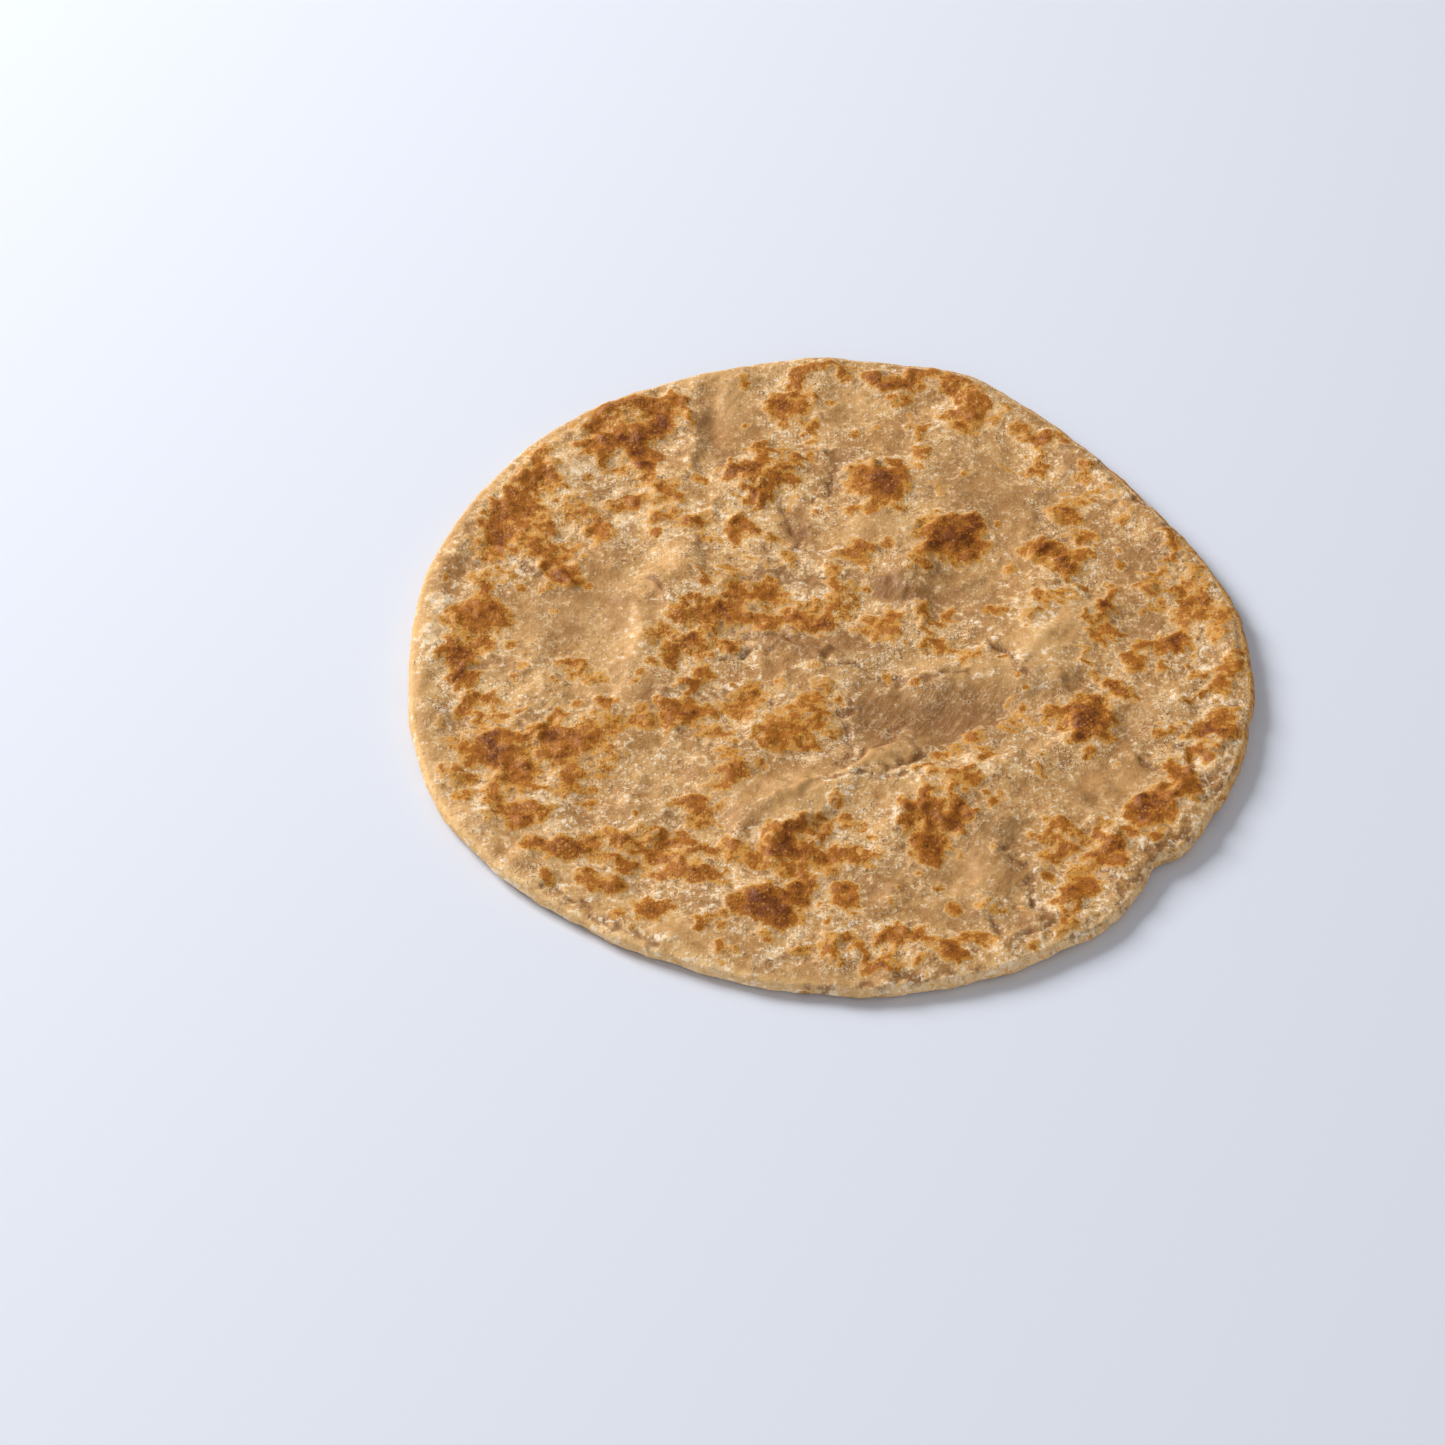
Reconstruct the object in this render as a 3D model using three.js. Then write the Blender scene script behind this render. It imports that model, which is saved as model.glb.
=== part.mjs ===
// A flat griddle-baked bread: one thin, soft sheet of dough with a lumpy, blistered upper face,
// a hollow with folds around it near the middle, and a hand-rolled margin that curls up a little.
// Millimetres, +Z up. The origin is on the table under the middle of the bread.
// +X is to the right and +Y is away from the eater.
import * as THREE from 'three';

// Overall sizes
const WIDTH = 189;            // across, along X
const DEPTH = 205.5;          // front to back, along Y
const DOUGH = 2.9;            // thickness of the rolled sheet away from blisters and folds

// The margin
const MARGIN_ROUND = 2.2;     // how far in from the outline the upper edge rounds over
const MARGIN_DROP = 0.73;     // how far the upper edge has dropped where the rounding starts
const MARGIN_UNDERCUT = 0.24; // how far above the curled underside its rounded edge ends
const MARGIN_BAND = 14;       // width of the band that curls up off the table
const MARGIN_LIFT = 1.3;      // how high the underside stands at the margin, on average
const LIFT_CHANGE = 0.6;      // how much that lift comes and goes along the margin
const LIFT_SWINGS = [         // its swings round the margin, as { size, count, phase }
  { size: 0.67, count: 2, phase: 0.8 },
  { size: 0.33, count: 5, phase: 0 },
];
const MARGIN_WELT = 0.7;      // the thicker welt that runs just inside the outline

// The upper face
const WAVE_HEIGHT = 0.55;     // long, low waves in the sheet
const WAVE_LENGTH = 62;       // from crest to crest
const WAVES = [               // the two trains of waves, as { run along X, run along Y, phase }
  { x: 0.9, y: 0.45, phase: 0.6 },
  { x: 0.5, y: -0.95, phase: 2.1 },
];
const FOLD_HEIGHT = 1.5;      // the small folds pinched up around the hollow
const FOLD_WIDTH = 4.2;       // across one fold
const BLISTER_HEIGHT = 1.25;  // the tallest blister
const BLISTER_AT_EDGE = 0.35; // share of its height that a blister keeps right at the margin
const MOUND_FALL = 1.4;       // how steeply blisters and the hollow fall away from their middles
const HOLLOW_DEPTH = 1.5;     // the smooth hollow right of the middle

// Fineness of the mesh
const RINGS = 28;             // rings of points from the middle to the margin
const MARGIN_POINTS = 6 * RINGS;

// Colour of the crumb between the toasted spots
const BAKED = { color: 0xc99b60, roughness: 0.78, metalness: 0 };

// The outline as [direction in degrees from +X, reach from the middle]. It is nearly round: flatter
// at the back right, with a small nick in the flaky margin at the front right.
const OUTLINE = [
  [0, 94.6], [13, 92.7], [28, 90.1], [43, 92], [58, 97.5], [69, 102.7], [79, 102.8],
  [91, 103], [105, 102], [120, 100.5], [136, 99], [151, 96.6], [166, 95.6], [180, 94.7],
  [197, 96.8], [212, 99.6], [227, 100], [242, 100.4], [252, 101], [263, 102.7], [277, 103.7],
  [290, 103.1], [302, 102], [310, 98.8], [315, 95.8], [319, 97.4], [331, 97], [344, 95.8],
];

// Places on the upper face are shares of the half width and half depth, so they keep their place
// on the bread when its size changes. Heights are shares of the tallest fold or blister.

// Folds as { height, points along the crest }.
const FOLDS = [
  { height: 0.5, crest: [[0.0, -0.39], [0.16, -0.38], [0.33, -0.375], [0.48, -0.31]] },
  { height: 0.6, crest: [[-0.18, -0.49], [-0.1, -0.43], [-0.01, -0.39]] },
  { height: 0.7, crest: [[-0.28, -0.42], [-0.22, -0.36], [-0.18, -0.28]] },
  { height: 0.8, crest: [[-0.43, -0.07], [-0.46, 0.08], [-0.42, 0.22]] },
  { height: 0.6, crest: [[-0.36, 0.05], [-0.38, 0.14], [-0.33, 0.24]] },
  { height: 0.9, crest: [[0.22, -0.1], [0.3, -0.09], [0.4, -0.06]] },
  { height: 0.9, crest: [[0.44, -0.1], [0.49, 0.0], [0.47, 0.12]] },
  { height: 0.7, crest: [[0.12, 0.37], [0.18, 0.3], [0.25, 0.24]] },
  { height: 0.6, crest: [[-0.1, 0.36], [-0.07, 0.44], [-0.03, 0.52]] },
  { height: 0.8, crest: [[-0.63, 0.62], [-0.48, 0.72], [-0.36, 0.71]] },
];

// Blisters as [across, away, half length, half width, turn in degrees, height].
const BLISTERS = [
  [0.3, 0.375, 9, 7.5, 60, 1.0],
  [0.13, 0.56, 8.5, 7.5, 0, 0.9],
  [-0.16, 0.57, 7, 10, 20, 0.7],
  [-0.5, 0.76, 13, 8, 30, 0.8],
  [-0.34, 0.82, 5, 9, 15, 0.7],
  [-0.66, 0.5, 8, 13, -20, 0.7],
  [-0.83, 0.1, 6, 17, 0, 0.7],
  [-0.75, -0.28, 10, 9, 0, 0.9],
  [-0.55, -0.26, 12, 6, 10, 0.7],
  [-0.68, -0.5, 9, 7, 40, 0.6],
  [-0.52, -0.69, 6, 6, 0, 0.7],
  [-0.15, -0.76, 9, 6, 10, 1.0],
  [-0.1, -0.6, 12, 5, 0, 0.7],
  [0.22, -0.5, 6, 12, -10, 0.9],
  [0.19, -0.28, 7, 4, 15, 0.8],
  [0.74, -0.47, 11, 6, 30, 0.9],
  [0.59, -0.62, 5, 9, -35, 0.8],
  [0.88, -0.28, 6, 8, 0, 0.6],
  [0.59, -0.2, 7, 7.5, 0, 0.8],
  [0.15, -0.86, 8, 5, 0, 0.6],
  [0.08, 0.93, 16, 6, -8, 0.6],
  [0.4, 0.8, 6, 10, -25, 0.5],
  [0.8, 0.25, 8, 8, 0, 0.5],
  [-0.25, 0.2, 14, 9, -30, 0.5],
];

// The hollow: its place, half length, half width and turn.
const HOLLOW = { across: 0.25, away: -0.22, length: 25, width: 14, turn: 12 };

/** Smooth step from 0 to 1 as value goes from low to high. */
function ease(low, high, value) {
  return THREE.MathUtils.smoothstep(value, low, high);
}

/** A closed curve round the margin, stretched to the overall width and depth. */
function outlineCurve() {
  const points = OUTLINE.map(([degrees, reach]) => {
    const angle = THREE.MathUtils.degToRad(degrees);
    return new THREE.Vector3(reach * Math.cos(angle), reach * Math.sin(angle), 0);
  });
  const curve = new THREE.CatmullRomCurve3(points, true, 'centripetal');
  const span = new THREE.Box3().setFromPoints(marginPoints(curve));
  const middle = span.getCenter(new THREE.Vector3());
  const size = span.getSize(new THREE.Vector3());
  for (const point of points) {
    point.sub(middle);
    point.x *= WIDTH / size.x;
    point.y *= DEPTH / size.y;
  }
  return new THREE.CatmullRomCurve3(points, true, 'centripetal');
}

/** The points that the outermost ring has on a closed curve. */
function marginPoints(curve) {
  return curve.getSpacedPoints(MARGIN_POINTS).slice(0, MARGIN_POINTS);
}

/** Distance in the table's plane from a point to a line of points. */
function distanceToLine(x, y, line) {
  const point = new THREE.Vector3(x, y, 0);
  const nearest = new THREE.Vector3();
  let best = Infinity;
  for (let i = 1; i < line.length; i += 1) {
    new THREE.Line3(line[i - 1], line[i]).closestPointToPoint(point, true, nearest);
    best = Math.min(best, nearest.distanceTo(point));
  }
  return best;
}

/** A rounded mound: 1 in the middle of a turned oval, falling to 0 outside it. */
function mound(x, y, length, width, degrees) {
  const angle = THREE.MathUtils.degToRad(degrees);
  const along = (x * Math.cos(angle) + y * Math.sin(angle)) / length;
  const across = (y * Math.cos(angle) - x * Math.sin(angle)) / width;
  return Math.exp(-MOUND_FALL * (along * along + across * across));
}

const FOLD_LINES = FOLDS.map(({ height, crest }) => ({
  height,
  crest: crest.map(([across, away]) => new THREE.Vector3(across * WIDTH / 2, away * DEPTH / 2, 0)),
}));

/** Height of the folds over a point: the tallest one that reaches it. */
function foldHeight(x, y) {
  const heights = FOLD_LINES.map(({ height, crest }) => {
    const share = distanceToLine(x, y, crest) / FOLD_WIDTH;
    return height * Math.exp(-share * share);
  });
  return FOLD_HEIGHT * Math.max(...heights);
}

/** Height of the blisters over a point. */
function blisterHeight(x, y) {
  const heights = BLISTERS.map(([across, away, length, width, turn, height]) =>
    height * mound(x - across * WIDTH / 2, y - away * DEPTH / 2, length, width, turn));
  return BLISTER_HEIGHT * Math.max(...heights);
}

/** Depth of the smooth hollow under a point. */
function hollowDepth(x, y) {
  const { across, away, length, width, turn } = HOLLOW;
  return HOLLOW_DEPTH * mound(x - across * WIDTH / 2, y - away * DEPTH / 2, length, width, turn);
}

/** Long, low waves that cross the sheet two ways, from 0 up. */
function waveHeight(x, y) {
  const turn = 2 * Math.PI / WAVE_LENGTH;
  const swing = (wave) => Math.sin(turn * (wave.x * x + wave.y * y) + wave.phase);
  return WAVE_HEIGHT * (1 + swing(WAVES[0]) * swing(WAVES[1]));
}

/** How far the underside stands off the table at a point near the margin. */
function marginLift(x, y, inward) {
  const angle = Math.atan2(y, x);
  const swings = LIFT_SWINGS.map(({ size, count, phase }) => size * Math.sin(count * angle + phase));
  const curl = 1 - ease(0, MARGIN_BAND, inward);
  return curl * curl * (MARGIN_LIFT + LIFT_CHANGE * (swings[0] + swings[1]));
}

/** Height of the upper face, given how far inward from the outline the point lies. */
function upperHeight(x, y, inward) {
  const sheet = marginLift(x, y, inward) + DOUGH + waveHeight(x, y) - hollowDepth(x, y);
  const settled = ease(0, MARGIN_BAND, inward);
  const welt = MARGIN_WELT * Math.exp(-(((inward - MARGIN_BAND / 3) / (MARGIN_BAND / 3)) ** 2));
  const blistered = BLISTER_AT_EDGE + (1 - BLISTER_AT_EDGE) * settled;
  return sheet + welt + settled * foldHeight(x, y) + blistered * blisterHeight(x, y);
}

/** Positions and triangles of the whole sheet, as one closed skin. */
function sheetSkin(curve) {
  const positions = [];
  const triangles = [];
  const margin = marginPoints(curve);
  const addPoint = (x, y, z) => positions.push(x, y, z) / 3 - 1;

  // Upper face: rings of 6, 12, 18 ... points inside the rounded edge.
  const ringStart = (ring) => (ring === 0 ? 0 : 1 + 3 * ring * (ring - 1));
  const ringPoint = (ring, step) => (ring === 0 ? 0 : ringStart(ring) + step % (6 * ring));
  addPoint(0, 0, upperHeight(0, 0, Infinity));
  for (let ring = 1; ring <= RINGS; ring += 1) {
    const points = curve.getSpacedPoints(6 * ring).slice(0, 6 * ring);
    for (const point of points) {
      const reach = point.length();
      const inset = reach - MARGIN_ROUND;
      const distance = inset * ring / RINGS;
      point.multiplyScalar(distance / reach);
      const drop = ring === RINGS ? MARGIN_DROP : 0;
      addPoint(point.x, point.y, upperHeight(point.x, point.y, reach - distance) - drop);
    }
    for (let side = 0; side < 6; side += 1) {
      for (let i = 0; i < ring; i += 1) {
        const outer = ringPoint(ring, side * ring + i);
        const outerNext = ringPoint(ring, side * ring + i + 1);
        const inner = ringPoint(ring - 1, side * (ring - 1) + i);
        triangles.push(outer, outerNext, inner);
        if (i < ring - 1) {
          triangles.push(inner, outerNext, ringPoint(ring - 1, side * (ring - 1) + i + 1));
        }
      }
    }
  }

  // Margin and underside: loops of points from the outline in to the edge of the flat rest.
  const loopAt = (inward, height) => margin.map((point) => {
    const reach = point.length();
    const share = (reach - inward) / reach;
    const x = point.x * share;
    const y = point.y * share;
    return addPoint(x, y, height(x, y));
  });
  const under = (inward) => (x, y) => marginLift(x, y, inward);
  const loops = [
    margin.map((_, i) => ringPoint(RINGS, i)),
    loopAt(0, (x, y) => marginLift(x, y, 0) + DOUGH / 2),
    loopAt(MARGIN_ROUND / 2, (x, y) => marginLift(x, y, 0) + MARGIN_UNDERCUT),
    loopAt(MARGIN_BAND / 3, under(MARGIN_BAND / 3)),
    loopAt(MARGIN_BAND * 2 / 3, under(MARGIN_BAND * 2 / 3)),
    loopAt(MARGIN_BAND, () => 0),
  ];
  for (let l = 1; l < loops.length; l += 1) {
    for (let i = 0; i < MARGIN_POINTS; i += 1) {
      const next = (i + 1) % MARGIN_POINTS;
      triangles.push(loops[l - 1][i], loops[l][i], loops[l][next]);
      triangles.push(loops[l - 1][i], loops[l][next], loops[l - 1][next]);
    }
  }

  // The flat rest that the bread lies on.
  const rest = loops.at(-1);
  const centre = addPoint(0, 0, 0);
  for (let i = 0; i < MARGIN_POINTS; i += 1) {
    triangles.push(centre, rest[(i + 1) % MARGIN_POINTS], rest[i]);
  }
  return { positions, triangles };
}

/** The bread as one solid. */
function paratha() {
  const { positions, triangles } = sheetSkin(outlineCurve());
  const geometry = new THREE.BufferGeometry();
  geometry.setAttribute('position', new THREE.Float32BufferAttribute(positions, 3));
  geometry.setIndex(triangles);
  geometry.computeVertexNormals();
  const bread = new THREE.Mesh(geometry, new THREE.MeshStandardMaterial(BAKED));
  bread.name = 'paratha';
  return bread;
}

const model = new THREE.Group();
model.add(paratha());

export default model;
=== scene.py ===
"""A griddle-baked paratha, dressed around its CAD sheet: one fine mesh of baked dough with toasted
blisters, folds, flour and a flaky margin, on a plain pale table in soft daylight."""

import logging
import math
from dataclasses import dataclass, field
from enum import Enum
from typing import Any, Sequence

import bpy
import numpy as np
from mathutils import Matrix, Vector
from mathutils.bvhtree import BVHTree


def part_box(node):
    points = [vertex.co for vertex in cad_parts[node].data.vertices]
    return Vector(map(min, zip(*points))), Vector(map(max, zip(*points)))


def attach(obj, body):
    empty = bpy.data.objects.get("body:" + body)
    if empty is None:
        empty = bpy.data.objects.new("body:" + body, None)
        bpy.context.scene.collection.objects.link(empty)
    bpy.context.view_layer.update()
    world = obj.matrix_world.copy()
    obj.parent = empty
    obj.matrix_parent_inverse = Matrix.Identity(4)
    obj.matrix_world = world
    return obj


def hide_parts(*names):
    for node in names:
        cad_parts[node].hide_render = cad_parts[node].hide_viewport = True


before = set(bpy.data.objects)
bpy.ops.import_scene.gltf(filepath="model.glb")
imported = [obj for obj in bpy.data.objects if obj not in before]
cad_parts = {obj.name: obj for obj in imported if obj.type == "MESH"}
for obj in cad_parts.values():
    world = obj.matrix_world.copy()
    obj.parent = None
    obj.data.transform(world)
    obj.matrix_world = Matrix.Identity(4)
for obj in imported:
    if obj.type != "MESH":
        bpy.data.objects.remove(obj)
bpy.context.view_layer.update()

logging.basicConfig(level=logging.INFO, format="%(message)s")
log = logging.getLogger("paratha")

MM = 0.001
FULL_TURN = 2 * math.pi
TINY = 1e-9
Colour = tuple[float, float, float, float]
Spot = tuple[float, ...]
Line = Sequence[tuple[float, float]]
Swell = tuple[float, float, float, Line]

# Toasted spots, as (across, away, half length, half width, browning[, turn in degrees]), in
# millimetres from the middle of the bread. Browning runs from 0.3, golden, to 1, dark brown.
TOAST: dict[str, list[Spot]] = {
    "back left": [
        (-51, 82, 4.5, 2, .75, 35), (-46, 84.5, 4.5, 2.2, .8), (-41, 83, 3, 2.5, .75, -25),
        (-54.5, 77, 2.2, 4, .7), (-54, 73, 3, 3, .6), (-49, 77, 4, 5, .42),
        (-50.5, 71, 3.5, 2, .75), (-46, 72, 3.5, 2.5, .9), (-41.5, 74.5, 3.5, 2.8, .95, 20),
        (-38.5, 77.5, 2.6, 3.6, 1, -20), (-38.5, 81.5, 2.2, 2.2, .8), (-44, 68, 2.6, 3.6, .9, 15),
        (-42, 65.5, 2, 3, .8), (-40.5, 62, 1.3, 3, .6), (-57, 68, 2.2, 2.2, .6),
        (-53, 67.5, 2, 3.5, .65), (-52.5, 64.5, 1.6, 1.6, .5), (-49, 61.5, 3.5, 2, .5),
        (-35, 86.5, 1.8, 3.2, .7, 30), (-36.5, 83.5, 1.8, 2, .7), (-33, 83, 1.2, 5, .6, 20),
        (-38, 57, 3, 2, .5), (-42, 59, 3, 1.6, .5, 30), (-37.5, 54, 2.6, 3.4, .65, 40),
        (-34.5, 52.5, 2.2, 1.6, .5), (-45, 51.5, 2.8, 2.4, .75), (-48, 50, 3.2, 2.4, .5),
        (-37.5, 45.5, 4, 2.5, .55), (-65.5, 66, 1.8, 2.8, .5), (-67.5, 63, 2.4, 3.4, .65, 20),
        (-67, 58.5, 3.4, 3, .75), (-69.5, 54.5, 2.2, 3, .7), (-64, 55, 2.4, 4, .5),
        (-72.5, 51.5, 3.2, 1.8, .75, 20), (-76, 47.5, 2.2, 3, .75), (-72.5, 46.5, 2.6, 4.2, .75),
        (-68.8, 46.5, 1.6, 6, .75), (-76.5, 42.5, 3, 2.6, .75), (-72, 41.5, 2.4, 2, .65),
        (-75.5, 37, 2.6, 3.4, .9), (-71, 37, 2, 3, .5), (-65.5, 46, 2, 3, .45),
        (-65, 40, 2.5, 3, .6), (-58, 47, 5, 3.5, .45), (-53, 43, 3.5, 4, .6), (-51, 38, 3, 3, .45),
        (-61, 49, 2, 2, .35),
    ],
    "back": [
        (-22, 61.5, 2, 2.6, .85), (-18.5, 60.5, 3, 2.4, .85), (-15.5, 62.5, 1.6, 2.6, .65),
        (-14, 66, 2, 2, .65), (-15, 70.2, 1.8, 2, .85), (-12, 68.5, 2.4, 1.8, .6, -30),
        (-9, 70, 2.4, 1.6, .4), (-5, 67, 2.6, 1.6, .6), (-8, 62.5, 2.2, 1.2, .75),
        (-6, 61.5, 1.2, 1, .6), (-12.5, 58.5, 3.6, 2.2, .8, 10), (-9, 58.5, 2, 1.6, .7),
        (-17, 53.5, 2.8, 2, .85, -40), (-15, 51.5, 2, 2.5, .8), (-19.5, 54, 1.4, 1.6, .65),
        (-13.5, 55, 1.6, 1.8, .65), (-15.5, 48.5, 1.5, 1.5, .6), (-19.5, 43, 2.2, 2, .85),
        (-21, 40, 1.6, 3, .6), (-17, 40.5, 2.2, 2, .7), (-21.5, 37, 1.5, 1.5, .65),
        (-31, 43, 2.2, 1.8, .65), (-28.5, 45, 3, 1.5, .4, 30), (-12.5, 38, 2.5, 2, .5),
        (-28, 38, 3, 3, .35), (-9.5, 86.5, 3, 2, .85, 10), (-10, 84, 3, 1.8, .8, -20),
        (-6, 85.5, 2, 2.4, .7), (-3.5, 87, 1.5, 4, .5, -10), (-6.5, 93, 1.6, 3, .65),
        (-4.5, 96, 2.5, 2, .65, 40), (0, 98.5, 4, 1.8, .6), (2.8, 98.5, 1.6, 2, .75),
        (6, 97, 3, 1.8, .55), (-9, 80.5, 3, 2.5, .4), (-2, 77, 2, 3, .45), (-3, 73, 1.5, 2, .5),
        (12.5, 93.8, 2, 2, .8), (15, 92, 2.2, 1.5, .8), (19, 91.5, 3, 2, .85),
        (22, 93.5, 2, 2.4, .75), (24, 95.5, 3, 1.5, .55), (27.5, 95, 3, 1.8, .55),
        (32, 93, 2, 2.4, .8), (31.5, 89.8, 2.4, 1.2, .7), (34.5, 91.5, 1.5, 1.5, .6),
        (18, 85.5, 1.6, 2, .5), (31, 82, 2.2, 1.6, .6), (12, 78, 2, 1.8, .35),
        (21, 80, 1.2, 2.5, .4), (23.5, 76, 1.8, 2.5, .45), (23.8, 69.5, 1.4, 1.4, .7),
        (23.5, 67, 1.5, 1.5, .65), (32.5, 77, 2, 3, .55), (33, 61.5, 1.6, 2.5, .4),
        (26.8, 55.5, 2.8, 2.4, .35), (24.5, 78, 1, 1, .6), (9, 60, 3.4, 3, .75),
        (13, 58.5, 4, 3.6, .9), (17.5, 63, 2.2, 2.8, .8), (14, 53.5, 3.6, 3.4, .88),
        (16, 56, 2.4, 3, .95), (8.5, 56, 2.4, 2.4, .65), (18.5, 58, 1.8, 3.4, .7),
        (12, 48, 3.4, 1.8, .55), (17, 48, 2, 1.8, .6), (5, 47.5, 4, 1.4, .4),
        (26, 37.5, 3.6, 5, 1, 10), (31.5, 37, 4.4, 5.4, 1), (34, 42, 2.6, 2.8, 1),
        (28, 43, 2.4, 1.8, .9, 20), (23.5, 34.5, 1.5, 1.8, .8),
    ],
    "back right": [
        (36.5, 84, 1.8, 5, .7, -5), (39, 85, 1.4, 3.6, .65), (34.5, 79.5, 1.5, 3.5, .75),
        (37, 80, 1.8, 2, .55), (35, 75.5, 2, 2, .5), (34, 87, 1.5, 1.5, .55),
        (44.5, 83, 1.5, 3, .45, 30), (47, 76.8, 2.4, 1.8, .55), (48, 73.5, 2, 2.4, .5),
        (51.8, 72, 2, 1.6, .85), (51.8, 68, 1.2, 3, .55), (51.5, 63, 1.6, 2.8, .75),
        (50, 60, 1.5, 1.5, .4), (43.5, 63.5, 1.6, 1.4, .55), (61.5, 60.5, 2.4, 1.8, .55),
        (62, 57.5, 2, 1.8, .4), (63.5, 52.5, 1.6, 1.4, .55), (67.5, 54, 1.2, 2.4, .45),
        (56, 50, 4, 1.6, .45, 10), (56.8, 46, 2.4, 2.2, .85), (55, 46, 3.5, 3, .45),
        (59.5, 43.5, 1, 1.5, .5), (69, 47.5, 1, 2.4, .45), (69, 41.5, 1.3, 2, .55),
        (71, 45, 1, 2, .4), (60, 37.5, 3, 2, .7), (80, 38.5, 1.6, 1.4, .65),
    ],
    "left": [
        (-66, 33, 3.5, 3.5, .75), (-62, 30.5, 2.5, 2, .6), (-59.5, 34, 1.5, 2.5, .6),
        (-75.5, 33.5, 2.2, 3, .8), (-77, 30, 2, 2.5, .5), (-79, 33, 4, 5, .35),
        (-60.5, 23.5, 3.5, 2.8, .8), (-60, 27.5, 2, 2, .5), (-79, 22.5, 3, 2.5, .45),
        (-77.8, 18.5, 2, 2.4, .75), (-73.5, 24, 2, 2.5, .4), (-76, 13, 3.5, 2.5, .75, -30),
        (-81, 13.5, 2.2, 2, .55), (-74, 10, 3.4, 1.6, .7, -45), (-80.5, 9.5, 5, 4, .7),
        (-84, 8, 2.2, 3.5, .5), (-77.5, 7, 2.5, 2.5, .6), (-82, 5, 4, 1.4, .6),
        (-77.5, 2.2, 2.6, 2, .7), (-84, 1, 2, 2.5, .5), (-85, -1.5, 2, 2, .75),
        (-83.5, -3.2, 3.2, 2.5, .85), (-80.5, -2.2, 2.4, 2.2, .75), (-82.5, -6.5, 1.6, 3, .75, 20),
        (-81.5, -9.8, 2.6, 2, .8), (-80, -12.2, 2.4, 1.6, .65), (-83, -11, 2, 2, .45),
        (-77, -15.5, 2, 1, .7), (-74.5, -17, 2, 3, .45), (-80, -18, 2, 2, .6),
        (-78, -23, 3, 2, .6, -30), (-80.5, -21, 1.5, 2, .5), (-68.5, -19, 2, 1.2, .5),
        (-73.5, -22, 3, 2, .4), (-58, -3.5, 2.2, 2, .6), (-56, -7, 4.5, 2.5, .4),
        (-53, -9.5, 3, 2, .4), (-50, -18, 2.2, 1.8, .75), (-42, -18.5, 2.2, 2, .35),
        (-60.8, -22, 1.6, 2.6, .7, -15), (-62, -27, 3, 2.4, .85), (-57, -27.5, 5.5, 2.2, .85),
        (-54, -24.5, 2, 2, .5), (-48.5, -24, 2.5, 2.5, .5), (-42.5, -23.5, 3.5, 2.5, .55),
        (-37, -22, 2.4, 3, .5), (-51.5, -29, 4, 1.6, .6, -10), (-57.5, -32.5, 5, 2.4, .7),
        (-48, -33, 3, 2, .4), (-36.5, -18, 2.4, 1.5, .65), (-75, -29.5, 3, 2.2, 1),
        (-73.5, -33, 3.4, 3, 1), (-78, -33, 2.4, 2, .85), (-71, -27.5, 3, 1.5, .8),
        (-69, -30, 2, 4, .6), (-69.5, -34.5, 3, 2, .6), (-72, -36.5, 3.5, 1.6, .7),
        (-64, -33, 3, 3, .45), (-82, -31, 3, 3, .35), (-34, 12, 1.5, 3, .7), (-33, 9.5, 3, 1.6, .7),
        (-36.5, 5, 3.5, 1.6, .5, -40), (-40, 3, 2.5, 3, .4), (-35, -2.5, 2.2, 3, .75),
        (-36, 1, 2, 2, .5),
    ],
    "middle": [
        (8, 34, 3.5, 2.2, .65), (6, 32.5, 3, 2, .5), (11, 34, 1.5, 1.5, .7),
        (7.5, 30, 2.5, 2.5, .45), (-9, 32, 2, 3, .45), (-17, 30, 3, 2, .4), (-24, 28, 1.2, 1.2, .6),
        (-28, 22.5, 1.8, 2.8, .6), (-22, 24, 3, 3, .35), (-21, 19, 2.6, 2, .75),
        (-16.5, 19, 2.8, 2.2, .75), (-13, 22.5, 2.4, 1.8, .55), (-12.5, 18, 2.4, 2.6, .75),
        (-19, 16, 3, 1.6, .6), (-23.5, 12.5, 3.5, 3.5, .8), (-27, 14, 3, 2.5, .55),
        (-29, 10, 2.5, 3, .6), (-26.5, 6, 1.6, 3.5, .6), (-19, 11.5, 3, 1.8, .6),
        (-14.5, 9.5, 3.5, 2.4, .6), (-8, 10.5, 4, 2.4, .75), (-5.5, 9, 2.5, 2.5, .7),
        (-1.5, 8, 2.6, 2.2, .9), (0, 11, 1.6, 2.5, .65), (2.5, 14.5, 3, 2.5, .65),
        (-8, 15.5, 4, 1.2, .45), (-3, 14.5, 3, 1.6, .5), (2, 21, 2.4, 2.8, .55),
        (5.5, 20, 1.5, 3, .4), (9, 20.5, 1.6, 1.6, .4), (-31, 2.5, 2.6, 2.2, .75),
        (-28.5, -.5, 2, 2.5, .6), (-22, 2, 3.2, 2.2, .65), (-28.5, -7.5, 2.2, 3, .65),
        (-31, -12, 1.8, 3.5, .75, -25), (-29.5, -19.5, 2.5, 2, .75), (-33, -21, 3, 3, .9),
        (14.5, 10.5, 2.2, 3, .65), (11, 9, 3, 2.6, .5, 30), (13, 4.5, 3, 3, .5), (8, 7, 2, 3, .45),
        (21.3, 13.8, 1.5, 2.4, .7), (21, 10.5, 1.5, 1.8, .5), (27.5, 13, 1.6, 1.6, .55),
        (16.8, 9, 1.3, 1.3, .5), (24.7, 9.3, 2.4, 1.7, .6), (21.5, 5.5, 2, 1.8, .55),
        (23.5, 1.5, 2.6, 1.8, .8), (25.5, 2, 1.2, 2, .7), (27.5, -.5, 2, 1.5, .5),
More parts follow.
